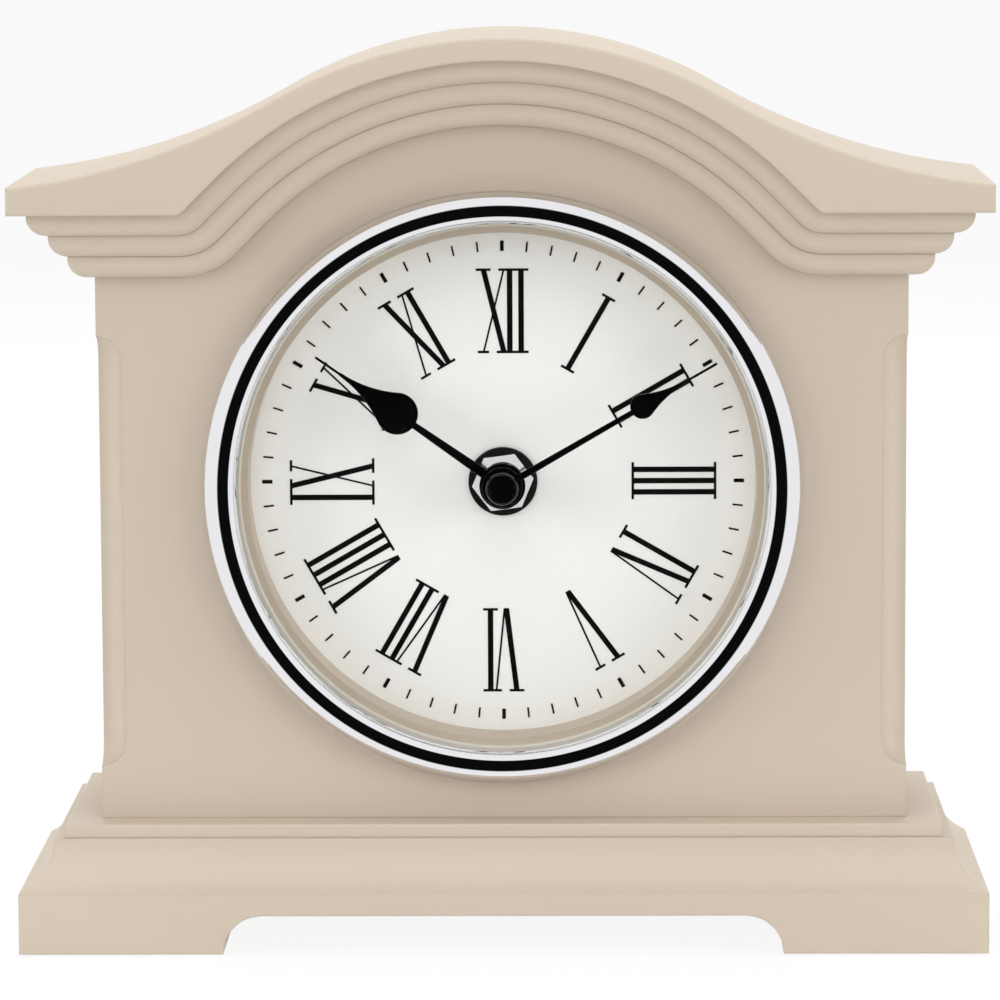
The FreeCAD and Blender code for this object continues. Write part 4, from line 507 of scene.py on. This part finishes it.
def make_materials():
    """Every finish of the clock by its slot.  After its tone a plastic has roughness, grain and depth in mm and
    drift, and a metal roughness, and size and depth in mm of its marks."""
    scene = bpy.context.scene
    paint, dial, metal = scene.clock_paint, scene.clock_dial, scene.clock_metal
    plastic, plated = plastic_material, metal_material
    return {
        # soft even sheen of warm stone paint
        "painted_wood": paint_material("satin_painted_wood", tuple(paint.body), paint.edge, paint.peel / MM),
        # pale tan with fine flecks along the grain, dull
        "bare_wood": wood_material("planed_beech", tuple(paint.wood), 1.6, 0.35),
        # flat brown, felted and dull; the hardboard is darker
        "back_board": board_material("fibreboard_back", tuple(paint.board)),
        "hardboard": board_material("tempered_hardboard", linear("6f4c33")),
        # near-black fuzz without any gloss
        "pads": plastic("pressed_wool_felt", linear("2c2a29"), 0.95, 0.35, 0.12, 0.2),
        # greyish metal with a soft shine; brass is warmer and brighter, nickel smoother
        "screw_steel": plated("zinc_plated_steel", tuple(metal.steel), 0.32, 0.5, 0.004),
        "brass_fittings": plated("polished_brass", tuple(metal.brass), 0.24, 0.6, 0.003),
        "magnet": plated("nickel_plated_magnet", linear("bdbdb9"), 0.3, 0.8, 0.004),
        # milky off-white with a broad, soft gloss
        "catch_plastic": plastic("moulded_nylon", linear("e7e2d6"), 0.45, 0.6, 0.006),
        # clean mirror of the pale room and its one dark side
        "bezel_metal": plated("polished_chrome_plate", tuple(metal.chrome), 0.03, 3.0, 0.0),
        # pale, slightly glossy strip; the clear strip is drawn opaque, and its pale tone is partly its own and
        # partly painted glint
        "gasket": plastic("clear_vinyl_strip", linear("dcd6cb"), 0.3, 0.5, 0.01),
        # seen straight through, with a clear gloss near its rim
        "glass": glass_material("domed_clear_glass"),
        # clean white with hardly any gloss; the print on it is a thin dense black
        "dial_enamel": plastic("white_lacquered_plate", tuple(dial.enamel), 0.42, 0.5, 0.002, 0.012),
        "dial_ink": plastic("screen_print_ink", tuple(dial.ink), 0.3, 0.3, 0.001),
        # deep black; the rubber is duller than the lacquer and the cap
        "washer_rubber": plastic("black_rubber", linear("0a0a09"), 0.4, 0.4, 0.004),
        "hand_lacquer": plastic("black_lacquered_brass", tuple(dial.hands), 0.25, 0.5, 0.0005),
        "cap_plastic": plastic("black_acetal", linear("030303"), 0.2, 0.5, 0.0005),
        # bright plating with fine marks of the lathe; ground steel is greyer
        "nut_chrome": plated("turned_chrome_brass", linear("dfdfe0"), 0.12, 0.25, 0.003),
        "arbor_metal": plated("ground_steel", linear("a9abad"), 0.22, 0.4, 0.003),
        # waxy look of gear plastic, in white and in grey
        "gear_plastic": plastic("white_acetal", linear("e9e7df"), 0.38, 0.7, 0.003),
        "plate_plastic": plastic("grey_acetal", linear("8f9291"), 0.42, 0.6, 0.006),
        # black case with the fine texture of its mould
        "movement_plastic": plastic("black_polystyrene", linear("1b1b1c"), 0.42, 0.5, 0.012),
        # dull grey sheets, and orange-brown wire with painted shade between its turns, which glints turn by
        # turn
        "stator_steel": plated("silicon_steel", linear("8f9194"), 0.38, 0.5, 0.005),
        "copper_wire": wound_material("enamelled_copper", linear("b5602f"), 0.25),
        # cloudy green coat over the tracks
        "circuit": plastic("green_solder_mask", linear("1f5a35"), 0.35, 0.5, 0.006, 0.15),
        # bright, hard-edged spring metal
        "contact_steel": plated("nickel_plated_spring_steel", linear("c9cac6"), 0.25, 0.5, 0.003),
        # blue-grey film drawn tight, with a smooth gloss
        "battery_jacket": plastic("printed_shrink_film", linear("3d4650"), 0.28, 0.8, 0.004),
        # plain white, a little glossy
        "button_plastic": plastic("white_button_plastic", linear("d9d9d6"), 0.4, 0.5, 0.006),
    }


FINISHES = {}


def dress(piece, slot):
    """Gives a piece the finish of a slot."""
    piece.data.materials.clear()
    piece.data.materials.append(FINISHES[slot])


def stand_for(piece, slot, body, *nodes):
    """Dresses a new piece, lets it ride on its body and stand for its CAD nodes."""
    dress(piece, slot)
    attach(piece, body)
    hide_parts(*nodes)


class CLOCK_OT_finishes(Operator):
    """Gives every CAD piece the finish of its record slot"""

    bl_idname = "clock.finishes"
    bl_label = "Finishes"

    def execute(self, context):
        FINISHES.update(make_materials())
        for row in frame["record"]["subparts"]:
            dress(frame["nodes"][row["node"]], row["material_slot"])
        return {"FINISHED"}


class CLOCK_OT_crown(Operator):
    """Flared crown board and the three stepped mouldings under it, with mitred returns at the ends"""

    bl_idname = "clock.crown"
    bl_label = "Crown and mouldings"

    def execute(self, context):
        paint = context.scene.clock_paint
        self.crown(paint.crown_edge / MM, paint.arch_steps)
        for number, node in enumerate(("moulding_upper", "moulding_middle", "moulding_lower"), 1):
            self.moulding(node, MOULDING * number, paint.ovolo / MM, paint.arch_steps)
        return {"FINISHED"}

    def crown(self, edge, steps):
        """Loops along the top and back along the underside.  At angle a of the rounded front edge a loop is
        inset by edge (1 - sin a) and set back by edge (1 - cos a); the last one lies on the rear face."""
        low, high = box_of("crown_board")
        a = np.radians(np.linspace(0, 90, 7))
        inset = np.append(edge * (1 - np.sin(a)), 0)[:, None]
        depth = np.append(low[1] + edge * (1 - np.cos(a)), high[1])[:, None]
        x = (high[0] - inset) * np.linspace(1, -1, steps)
        upper = np.minimum(crown_height(x, inset), high[2])
        across = np.hstack((x, x[:, ::-1]))
        upward = np.hstack((upper, arch_height(x, -inset)[:, ::-1]))
        numbers = np.arange(across.size).reshape(across.shape)
        faces = grid_faces(numbers, wrap_columns=True)
        for row in numbers[[0, -1]]:
            faces += strip(row[:steps], row[steps:][::-1])
        points = np.stack((across, depth + 0 * across, upward), -1).reshape(-1, 3)
        stand_for(mesh_object("crown_top", points, faces), "painted_wood", "case", "crown_board")

    def moulding(self, node, drop, radius, steps):
        """Layers from the upper edge down the front, then round to the underside: at angle a the drop is
        D - R + R sin a, and front and ends stand back by R (1 - cos a)."""
        low, high = box_of(node)
        a = np.radians(np.linspace(0, 90, 13))
        drops = np.concatenate(([drop - MOULDING], drop - radius + radius * np.sin(a)))[:, None]
        setback = np.concatenate(([0], radius * (1 - np.cos(a))))
        x = (high[0] - setback)[:, None] * np.linspace(1, -1, steps)
        curves = np.stack((x, arch_height(x, drops)), -1)
        strip_of_wood = mesh_object(node + "_ovolo", *layered(curves, setback, low[1], high[1]))
        stand_for(strip_of_wood, "painted_wood", "case", node)


class CLOCK_OT_bezel(Operator):
    """Polished bezel ring, turned from a section with a broad round outside its crest and a small one inside"""

    bl_idname = "clock.bezel"
    bl_label = "Bezel ring"

    def execute(self, context):
        front = box_of("bezel_ring")[0][1]
        board = box_of("front_board")[0][1]
        outer, crest, lip, rebate = 59.85, 55.7, 53.4, 54.5  # radii
        rise, wall, outer_round = 1.7, 0.5, 5.2  # fall from crest to lip, lip's thickness, broad round
        lean = math.degrees(math.asin((outer - crest) / outer_round))
        run = crest - lip
        inner_round = (run * run + rise * rise) / (rise * 2)
        reach = math.degrees(math.asin(run / inner_round))
        section = np.vstack((
            [(outer, board)],
            arc((crest, front + outer_round), outer_round, lean - 90, -90, 32),
            arc((crest, front + inner_round), inner_round, -90, -90 - reach, 32)[1:],
            [(lip, front + rise + wall), (rebate, front + rise + wall), (rebate, board)],
        ))
        ring = mesh_object("bezel_rim", *spun(section, context.scene.clock_metal.ring_steps, DIAL, closed=True))
        stand_for(ring, "bezel_metal", "case", "bezel_ring")
        return {"FINISHED"}


class CLOCK_OT_glass(Operator):
    """Domed glass and the ring of soft strip that it rests on"""

    bl_idname = "clock.glass"
    bl_label = "Glass and gasket"

    def execute(self, context):
        """The dome is part of a sphere: y = apex + R less the root of R^2 - r^2."""
        metal = context.scene.clock_metal
        radius, rise, thickness = 54.4, metal.glass_dome / MM, 2.0
        inside, edge = 52.7, 0.3  # strip's inner radius and the cut of its edge
        seat = box_of("glass_gasket")[0][1]
        sphere = (radius ** 2 + rise ** 2) / (rise * 2)
        r = np.linspace(0, radius, 40)
        inner = seat - rise + sphere - np.sqrt(sphere ** 2 - r ** 2)
        profile = np.concatenate((np.stack((r, inner), -1), np.stack((r, inner - thickness), -1)[::-1]))
        dome = mesh_object("glass_dome", *spun(profile, metal.ring_steps, DIAL))
        stand_for(dome, "glass", "case", "glass_lens")
        low, high = box_of("glass_gasket")
        bead = [(radius, low[1]), (radius, high[1]), (inside, high[1]), (inside, low[1] + edge),
                (inside + edge, low[1])]
        ring = mesh_object("gasket_strip", *spun(bead, metal.ring_steps, DIAL, closed=True))
        stand_for(ring, "gasket", "case", "glass_gasket")
        return {"FINISHED"}


class CLOCK_OT_nut(Operator):
    """Rubber washer, chamfered hexagon nut and the threaded bushing that they clamp"""

    bl_idname = "clock.nut"
    bl_label = "Nut and bushing"

    def execute(self, context):
        washer, nut, bushing = (box_of(node) for node in ("dial_washer", "hex_nut", "threaded_bushing"))
        hole, edge = 4.0, 0.2
        outside = washer[1][0] - DIAL[0]
        section = np.vstack((
            [(hole, DIAL_FACE), (hole, washer[0][1])],
            arc((outside - edge, washer[0][1] + edge), edge, -90, 0, 5), [(outside, DIAL_FACE)],
        ))
        ring = mesh_object("rubber_washer", *spun(section, 96, DIAL, closed=True))
        stand_for(ring, "washer_rubber", "case", "dial_washer")
        self.make_nut(nut)
        self.make_bushing(bushing, nut)
        return {"FINISHED"}

    def make_nut(self, span):
        """At angle t a side lies f / 2 / cos(t - nearest side) from the axis, with f across flats.  The chamfer
        cone starts at the rim of the round face and falls back by its slope, so it bites into the corners."""
        front, back = span[0][1], span[1][1]
        flats, face, bore, edge = 10.9, 4.3, 3.9, 0.3
        turned, slope, steps = 7.5, 0.47, 360  # turned by degrees, as in the photograph
        angle = 90 - np.arange(steps) / steps * 360 - turned
        side = flats / 2 / np.cos(np.radians((angle % 60) - 30))
        fall = np.maximum(side - face, 0) * slope
        rows = [(bore, back), (bore, front + edge), (bore + edge, front), (face, front)]
        rows += [(face + (side - face) * share, front + fall * share) for share in (0.5, 1.0)]
        rows.append((side, back))
        nut = mesh_object("hexagon_nut", *spun(ringed(rows, steps), steps, DIAL, closed=True), 20)
        stand_for(nut, "nut_chrome", "case", "hex_nut")

    def make_bushing(self, span, nut):
        """The thread is a helix: r falls by the depth times a triangle wave of y over the pitch plus the share
        of the turn, and by a chamfer at the end."""
        front, back = span[0][1], span[1][1]
        radius, bore, pitch, depth, steps = 3.9, 2.5, 0.75, 0.3, 96
        chamfer, edge, hidden = 0.5, 0.2, 1.5  # the thread ends this far inside the nut
        y = np.linspace(front, nut[0][1] + hidden, 60)[:, None] + np.zeros(steps)
        turn = np.arange(steps) / steps
        wave = np.abs(2 * (((y - front) / pitch + turn) % 1) - 1)
        thread = np.minimum(radius - depth * wave, radius - chamfer + (y - front))
        rows = [(bore, back), (bore, front + edge), (bore + edge, front), *zip(thread, y),
                (radius, y[-1] + edge), (radius, back)]
        bush = mesh_object("screwed_bushing", *spun(ringed(rows, steps), steps, DIAL, closed=True), 40)
        stand_for(bush, "nut_chrome", "case", "threaded_bushing")


class CLOCK_OT_hands(Operator):
    """Black hour and minute hands with round bulbs, and the cap on their arbor"""

    bl_idname = "clock.hands"
    bl_label = "Hands and cap"

    def execute(self, context):
        self.hand("hour_hand", "hour_train", degrees=305, hub=4.65, bore=2.42, root=2.2, neck=1.2, bulb=25.8,
                  radius=4.25, taper=14.2, point=0.7, length=45.8)
        self.hand("minute_hand", "minute_train", degrees=60, hub=4.1, bore=1.75, root=1.5, neck=1.0, bulb=32.6,
                  radius=2.5, taper=9.8, point=0.65, length=49.9)
        low, high = box_of("hand_cap")
        radius, edge, crown = 3.3, 0.6, 0.12
        arbor, floor = 1.75, -21.1  # hole for the arbor, and its closed end
        section = np.vstack((
            [(0, floor), (arbor, floor), (arbor, high[1]), (radius, high[1])],
            arc((radius - edge, low[1] + crown + edge), edge, 0, -85, 10),
            [(1.4, low[1] + crown / 4), (0, low[1])],
        ))
        stand_for(mesh_object("arbor_cap", *spun(section, 96, DIAL)), "cap_plastic", "minute_train", "hand_cap")
        return {"FINISHED"}

    def hand(self, node, body, degrees, hub, bore, root, neck, bulb, radius, taper, point, length):
        """Half width w at s along the arm: the largest of a straight taper from the hub to the bulb, the bulb's
        round, a hollow round from the bulb to the point, and the blunt tip.  Each section is a flat bar with
        its front edges planed off."""
        low, high = box_of(node)
        front, back = low[1], high[1]
        tip, edge, plane, shy = 0.25, 0.12, 0.14, 0.01  # the arm lies a hair behind the hub's face
        half = point / 2
        hollow = (half ** 2 + taper ** 2 - radius ** 2) / ((radius - half) * 2)
        leave = bulb + taper * radius / (radius + hollow)
        last = bulb + taper
        s = np.unique(np.concatenate((
            np.linspace(bore + 0.6, bulb - radius, 16),
            bulb - radius * np.cos(np.linspace(0, math.pi * 0.7, 40)),
            np.linspace(leave, last, 24), np.linspace(last, length - tip, 12),
            length - tip + tip * np.sin(np.linspace(0, math.pi / 2, 8)),
        )))
        arm = np.where(s < bulb, root / 2 + (neck - root) / 2 * s / bulb, 0)
        ball = np.where(s < leave, np.sqrt(np.maximum(radius ** 2 - (s - bulb) ** 2, 0)), 0)
        cove = half + hollow - np.sqrt(np.maximum(hollow ** 2 - np.minimum(last - s, taper) ** 2, 0))
        cove = np.where((s >= leave) & (s < last), cove, 0)
        rod = half + (tip - half) * (s - last) / (length - tip - last)
        end = np.sqrt(np.maximum(tip ** 2 - np.maximum(s - length + tip, 0) ** 2, 0))
        w = np.maximum.reduce((arm, ball, cove, np.where(s >= last, np.minimum(rod, end), 0)))
        bevel = np.minimum(plane, w * 0.4)
        lift = front + shy
        section = [(-w, back + 0 * w), (-w, lift + bevel), (bevel - w, lift + 0 * w), (w - bevel, lift + 0 * w),
                   (w, lift + bevel), (w, back + 0 * w)]
        grid = np.stack([np.stack((across, s, depth), -1) for across, depth in section])
        numbers = np.arange(grid.shape[0] * grid.shape[1]).reshape(grid.shape[:2])
        faces = grid_faces(numbers, True) + [numbers[:, 0].tolist(), numbers[:, -1].tolist()]
        angle = math.radians(degrees)
        across, along, depth = grid.reshape(-1, 3).T
        x = DIAL[0] + across * math.cos(angle) + along * math.sin(angle)
        z = DIAL[1] - across * math.sin(angle) + along * math.cos(angle)
        ring = [(bore, back), (bore, front + edge), (bore + edge, front), (hub - edge, front),
                (hub, front + edge), (hub, back)]
        whole = gathered([(np.stack((x, depth, z), -1), faces), spun(ring, 96, DIAL, closed=True)])
        stand_for(mesh_object(node + "_cut", *whole), "hand_lacquer", body, node)


class CLOCK_OT_fittings(Operator):
    """Turned door knob and the slotted screws of panel, dial board, base, catch and hinges"""

    bl_idname = "clock.fittings"
    bl_label = "Knob and screws"

    def execute(self, context):
        panel = box_of("back_panel")[1][1]
        self.knob(panel)
        board = box_of("dial_backing_board")[1][1]
        ring = 58.5 * DIAGONAL  # the board's screws stand 58.5 mm from the dial axis
        holder = box_of("catch_holder")[0][1]
        catch = box_of("catch_screw")[1][1] - holder
        leaf, rows = panel + 0.75, (66.4, 73.6, 111.4, 118.6)  # seat in the hinge leaves, heights of the screws
        # name, head (radius, height), shank (radius, length), facing, x, y and z of seats, slot, body, CAD node
        for name, head, body, facing, seats, slot, carrier, *nodes in (
            ("slotted_panel_screws", (2.8, 1.2), (1.5, 13.0), 1, ((67.5, -67.5), (panel,), (30.6, 121.95)),
             "brass_fittings", "case", "panel_screws"),
            ("dial_board_screws", (2.6, 1.4), (1.4, 9.0), 1,
             ((ring, -ring), (board,), (DIAL[1] + ring, DIAL[1] - ring)),
             "screw_steel", "case", "backing_screws"),
            ("base_screws", (3.6, 2.0), (2.0, 31.6), -2, ((77, -77), (0.65, 17.65), (8.0,)),
             "screw_steel", "case", "plinth_screws"),
            ("catch_holder_screw", (2.0, 0.8), (1.0, catch), -1, ((45.5,), (holder,), (92.5,)),
             "screw_steel", "case", "catch_screw"),
            ("hinge_screws_panel", (1.7, 0.45), (0.9, 3.4), 1, ((-45.85,), (leaf,), rows),
             "brass_fittings", "case"),
            ("hinge_screws_door", (1.7, 0.45), (0.9, 3.4), 1, ((-34.65,), (leaf,), rows),
             "brass_fittings", "door"),
        ):
            stand_for(screws(name, product(*seats), facing, head, body), slot, carrier, *nodes)
        return {"FINISHED"}

    def knob(self, panel):
        """Turned profile: a neck through the panel, a collar, a hollow, a rounded rim and a domed face."""
        low, high = box_of("door_knob")
        neck, radius, collar, hollow, rim, dome = 2.0, 4.0, 0.9, 1.6, 0.9, 6.6
        section = np.vstack((
            [(0, low[1]), (neck, low[1]), (neck, panel), (neck + collar, panel), (neck + 0.6, panel + 0.7)],
            arc((neck + hollow, panel + 1.9), hollow, 200, 130, 6), [(radius - 0.5, panel + 3.3)],
            arc((radius - rim, high[1] - 1.9), rim, -50, 60, 9), arc((0, high[1] - dome), dome, 62, 90, 9),
        ))
        place = ((low[0] + high[0]) / 2, (low[2] + high[2]) / 2)
        turned = mesh_object("turned_knob", *spun(section, 72, place))
        stand_for(turned, "brass_fittings", "door", "door_knob")


class CLOCK_OT_battery(Operator):
    """Battery with its can and jacket, the contact plates and the coned spring"""

    bl_idname = "clock.battery"
    bl_label = "Battery"

    def execute(self, context):
        low, high = box_of("battery")
        axis = ((low[1] + high[1]) / 2, (low[2] + high[2]) / 2)
        radius, roll, film, shy = 7.25, 0.8, 0.12, 0.02  # jacket, rolled edges, film, how far it stops short
        dish, dent = 3.4, 0.25  # flat end, a little sunk
        nub, nub_length, nub_edge, moat, sunk = 2.6, 1.2, 0.4, 4.0, 0.35  # raised end and the ring round it
        start, end = low[0], high[0] - nub_length
        can = np.vstack((
            [(0, start + dent), (dish, start + dent), (dish + 0.6, start)],
            arc((radius - film - roll, start + roll), roll, -90, 0, 7),
            arc((radius - film - roll, end - roll), roll, 0, 90, 7),
            [(moat + 0.4, end), (moat, end - sunk), (nub, end - sunk)],
            arc((nub - nub_edge, high[0] - nub_edge), nub_edge, 0, 90, 5), [(0, high[0])],
        ))
        metal = mesh_object("battery_can", *spun(can, 96, axis, "x"))
        stand_for(metal, "contact_steel", "battery_cell", "battery")
        inner = radius - roll - 0.1
        sleeve = np.vstack((
            [(radius - roll, start + shy)], arc((radius - roll, start + shy + roll), roll, -90, 0, 7)[1:],
            arc((radius - roll, end - shy - roll), roll, 0, 90, 7), [(inner, end - 0.1), (inner, start + 0.1)],
        ))
        wrap = mesh_object("battery_jacket", *spun(sleeve, 96, axis, "x", True))
        stand_for(wrap, "battery_jacket", "battery_cell", "battery")
        self.contacts(axis, start)
        return {"FINISHED"}

    def contacts(self, axis, cell):
        """Plates are squares with rounded corners: r is half a side over the eighth root of cos^8 + sin^8.  The
        spring is a helix whose radius falls evenly from plate to battery."""
        low, high = box_of("battery_contacts")
        thickness, half, wire, turns, small_end = 0.4, 4.0, 0.32, 3.5, 2.2
        steps = 96
        t = np.arange(steps) / steps * TURN
        square = half / (np.cos(t) ** 8 + np.sin(t) ** 8) ** 0.125
        pieces = []
        for start, end in ((low[0], low[0] + thickness), (high[0] - thickness, high[0])):
            rows = [(0, start), (square, start), (square, end), (0, end)]
            pieces.append(spun(ringed(rows, steps), steps, axis, "x"))
        share = np.linspace(0, 1, 140)
        angle = share * turns * TURN
        first, last = low[0] + thickness + wire * 0.9, cell - 0.1 - wire
        reach = half - wire + (small_end - half) * share
        ahead = first + (last - first) * share
        path = np.stack((ahead, axis[0] + reach * np.cos(angle), axis[1] + reach * np.sin(angle)), -1)
        pieces.append(tube(path, wire))
        made = mesh_object("contacts_and_spring", *gathered(pieces))
        stand_for(made, "contact_steel", "case", "battery_contacts")


class CLOCK_OT_stage(Operator):
    """Floor, light and the camera at the photograph's angle"""

    bl_idname = "clock.stage"
    bl_label = "Stage"

    def execute(self, context):
        stage = context.scene.clock_stage
        make_floor(stage)
        make_surround(stage)
        make_lamps(stage)
        make_camera(stage)
        context.scene.view_settings.view_transform = "Standard"
        return {"FINISHED"}


def make_floor(stage):
    """Sweep: flat floor that curves up to a wall, a depth profile carried along X.  The camera sees it glow
    white, with the clock's shadow on it."""
    front, reach, wall, radius, top, glow_share = -130.0, 2600.0, 2600.0, 500.0, 1600.0, 0.9
    profile = np.vstack(([(front, 0.0)], arc((wall - radius, radius), radius, -90, 0, 24), [(wall, top)]))
    across = np.array((-reach, reach))
    points = np.stack([np.insert(profile, 0, x, axis=1) for x in across]).reshape(-1, 3)
    mesh = bpy.data.meshes.new("studio_floor")
    mesh.from_pydata(points * MM, [], grid_faces(np.arange(len(points)).reshape(2, -1)))
    mesh.shade_smooth()
    floor = placed("studio_floor", mesh)
    floor.visible_glossy = False
    material, tree, shader, place = new_material("matt_paper_sweep", {"Roughness": 0.9})
    tree.links.new(vary(tree, tuple(stage.floor), noise(tree, place, 200.0), 0.01), shader.inputs["Base Color"])
    glow = add_node(tree, "ShaderNodeEmission", {"Color": WHITE, "Strength": 1.0})
    path = add_node(tree, "ShaderNodeLightPath")
    inputs = {0: path.outputs["Is Camera Ray"], 1: glow_share}
    seen = add_node(tree, "ShaderNodeMath", inputs, operation="MULTIPLY")
    mix = add_node(tree, "ShaderNodeMixShader", {0: seen.outputs[0], 1: shader.outputs[0], 2: glow.outputs[0]})
    output = next(one for one in tree.nodes if one.type == "OUTPUT_MATERIAL")
    tree.links.new(mix.outputs[0], output.inputs["Surface"])
    floor.data.materials.append(material)


def make_surround(stage):
    """Pale surround: even light for matt things, brighter from a white table below, white for the camera
    and through glass, and for gloss a white room with a dark front, as polished metal shows in a light tent."""
    dark_front = (0.0, -0.992, -0.129)  # unit vector out of the dial, and a little down
    dark_cosine, pale_cosine, dark, horizon = 0.84, 0.80, 0.004, 0.3
    world = bpy.data.worlds.new("studio_surround")
    bpy.context.scene.world = world
    tree = blank_tree(world)
    path = add_node(tree, "ShaderNodeLightPath")
    inputs = {0: path.outputs["Is Camera Ray"], 1: path.outputs["Is Transmission Ray"]}
    seen = add_node(tree, "ShaderNodeMath", inputs, operation="MAXIMUM").outputs[0]
    place = add_node(tree, "ShaderNodeTexCoord").outputs["Generated"]
    height = add_node(tree, "ShaderNodeSeparateXYZ", {0: place}).outputs["Z"]
    inputs = {"Value": height, "From Min": -horizon, "From Max": horizon,
              "To Min": stage.bounce, "To Max": stage.daylight}
    level = add_node(tree, "ShaderNodeMapRange", inputs).outputs[0]
    axis = add_node(tree, "ShaderNodeVectorMath", {0: place, 1: dark_front}, operation="DOT_PRODUCT")
    inputs = {"Value": axis.outputs["Value"], "From Min": pale_cosine, "From Max": dark_cosine,
              "To Min": 1.0, "To Max": dark}
    edge = add_node(tree, "ShaderNodeMapRange", inputs).outputs[0]
    white, plain, mirror = (
        add_node(tree, "ShaderNodeBackground", {"Color": WHITE, "Strength": strength}).outputs[0]
        for strength in (1.0, level, edge)
    )
    shown = add_node(tree, "ShaderNodeMixShader", {0: path.outputs["Is Glossy Ray"], 1: plain, 2: mirror})
    final = add_node(tree, "ShaderNodeMixShader", {0: seen, 1: shown.outputs[0], 2: white})
    add_node(tree, "ShaderNodeOutputWorld", {"Surface": final.outputs[0]})


def make_lamps(stage):
    """Soft boxes: a broad one in front, one high and one low in front, one above, one on each side and one
    behind.  None shows in metal, glass or the picture."""
    middle = Vector((0, 0, 0.09))
    for name, place, size, watts in (
        ("front_box", (0.0, -1.5, 0.4), 1.3, stage.front),
        ("key_box", (0.0, -0.6, 1.2), 1.1, stage.key),
        ("low_box", (0.0, -0.8, -0.85), 0.9, stage.low),
        ("top_box", (0.0, 0.12, 1.1), 0.8, stage.top),
        ("left_box", (-1.1, -0.6, 0.35), 0.8, stage.sides),
        ("right_box", (1.1, -0.6, 0.35), 0.8, stage.sides),
        ("back_box", (0.0, 1.1, 0.9), 0.8, stage.back),
    ):
        light = bpy.data.lights.new(name, "AREA")
        light.shape = "SQUARE"
        light.size = size
        light.energy = watts
        lamp = placed(name, light)
        lamp.location = place
        lamp.rotation_euler = (middle - Vector(place)).to_track_quat("-Z", "Y").to_euler()
        lamp.visible_camera = lamp.visible_glossy = False


def make_camera(stage):
    """Camera that looks down by the pitch, to the left by the yaw, and leans by the roll."""
    look = bpy.data.cameras.new("photo_camera")
    look.lens = stage.lens
    look.sensor_width = 36.0
    look.clip_start, look.clip_end = 0.05, 20.0
    camera = placed("photo_camera", look)
    yaw, pitch, roll = stage.yaw, stage.pitch, stage.roll
    forward = Vector((-math.sin(yaw) * math.cos(pitch), math.cos(yaw) * math.cos(pitch), -math.sin(pitch)))
    level = Vector((math.cos(yaw), math.sin(yaw), 0))
    upright = level.cross(forward)
    right = level * math.cos(roll) + upright * math.sin(roll)
    upward = upright * math.cos(roll) - level * math.sin(roll)
    turned = Matrix((right, upward, -forward)).transposed().to_4x4()
    camera.matrix_world = Matrix.Translation(Vector(stage.camera)) @ turned
    bpy.context.scene.camera = camera


class CLOCK_PT_panel(Panel):
    """Lists the settings and the pieces of the clock"""

    bl_idname = "CLOCK_PT_panel"
    bl_label = "Mantel clock"
    bl_space_type = "VIEW_3D"
    bl_region_type = "UI"
    bl_category = "Clock"

    def draw(self, context):
        for name, kind in GROUPS.items():
            box = self.layout.box()
            for prop in kind.__annotations__:
                box.prop(getattr(context.scene, name), prop)
        for operator in OPERATORS:
            self.layout.operator(operator.bl_idname)


OPERATORS = (
    CLOCK_OT_finishes, CLOCK_OT_crown, CLOCK_OT_bezel, CLOCK_OT_glass, CLOCK_OT_nut, CLOCK_OT_hands,
    CLOCK_OT_fittings, CLOCK_OT_battery, CLOCK_OT_stage,
)
CLASSES = (*GROUPS.values(), *OPERATORS, CLOCK_PT_panel)


def register():
    for one in CLASSES:
        bpy.utils.register_class(one)
    for name, kind in GROUPS.items():
        setattr(bpy.types.Scene, name, PointerProperty(type=kind))


def unregister():
    for name in GROUPS:
        delattr(bpy.types.Scene, name)
    for one in reversed(CLASSES):
        bpy.utils.unregister_class(one)


def main():
    register()
    for operator in OPERATORS:
        group, name = operator.bl_idname.split(".")
        getattr(getattr(bpy.ops, group), name)()


if __name__ == "__main__":
    main()
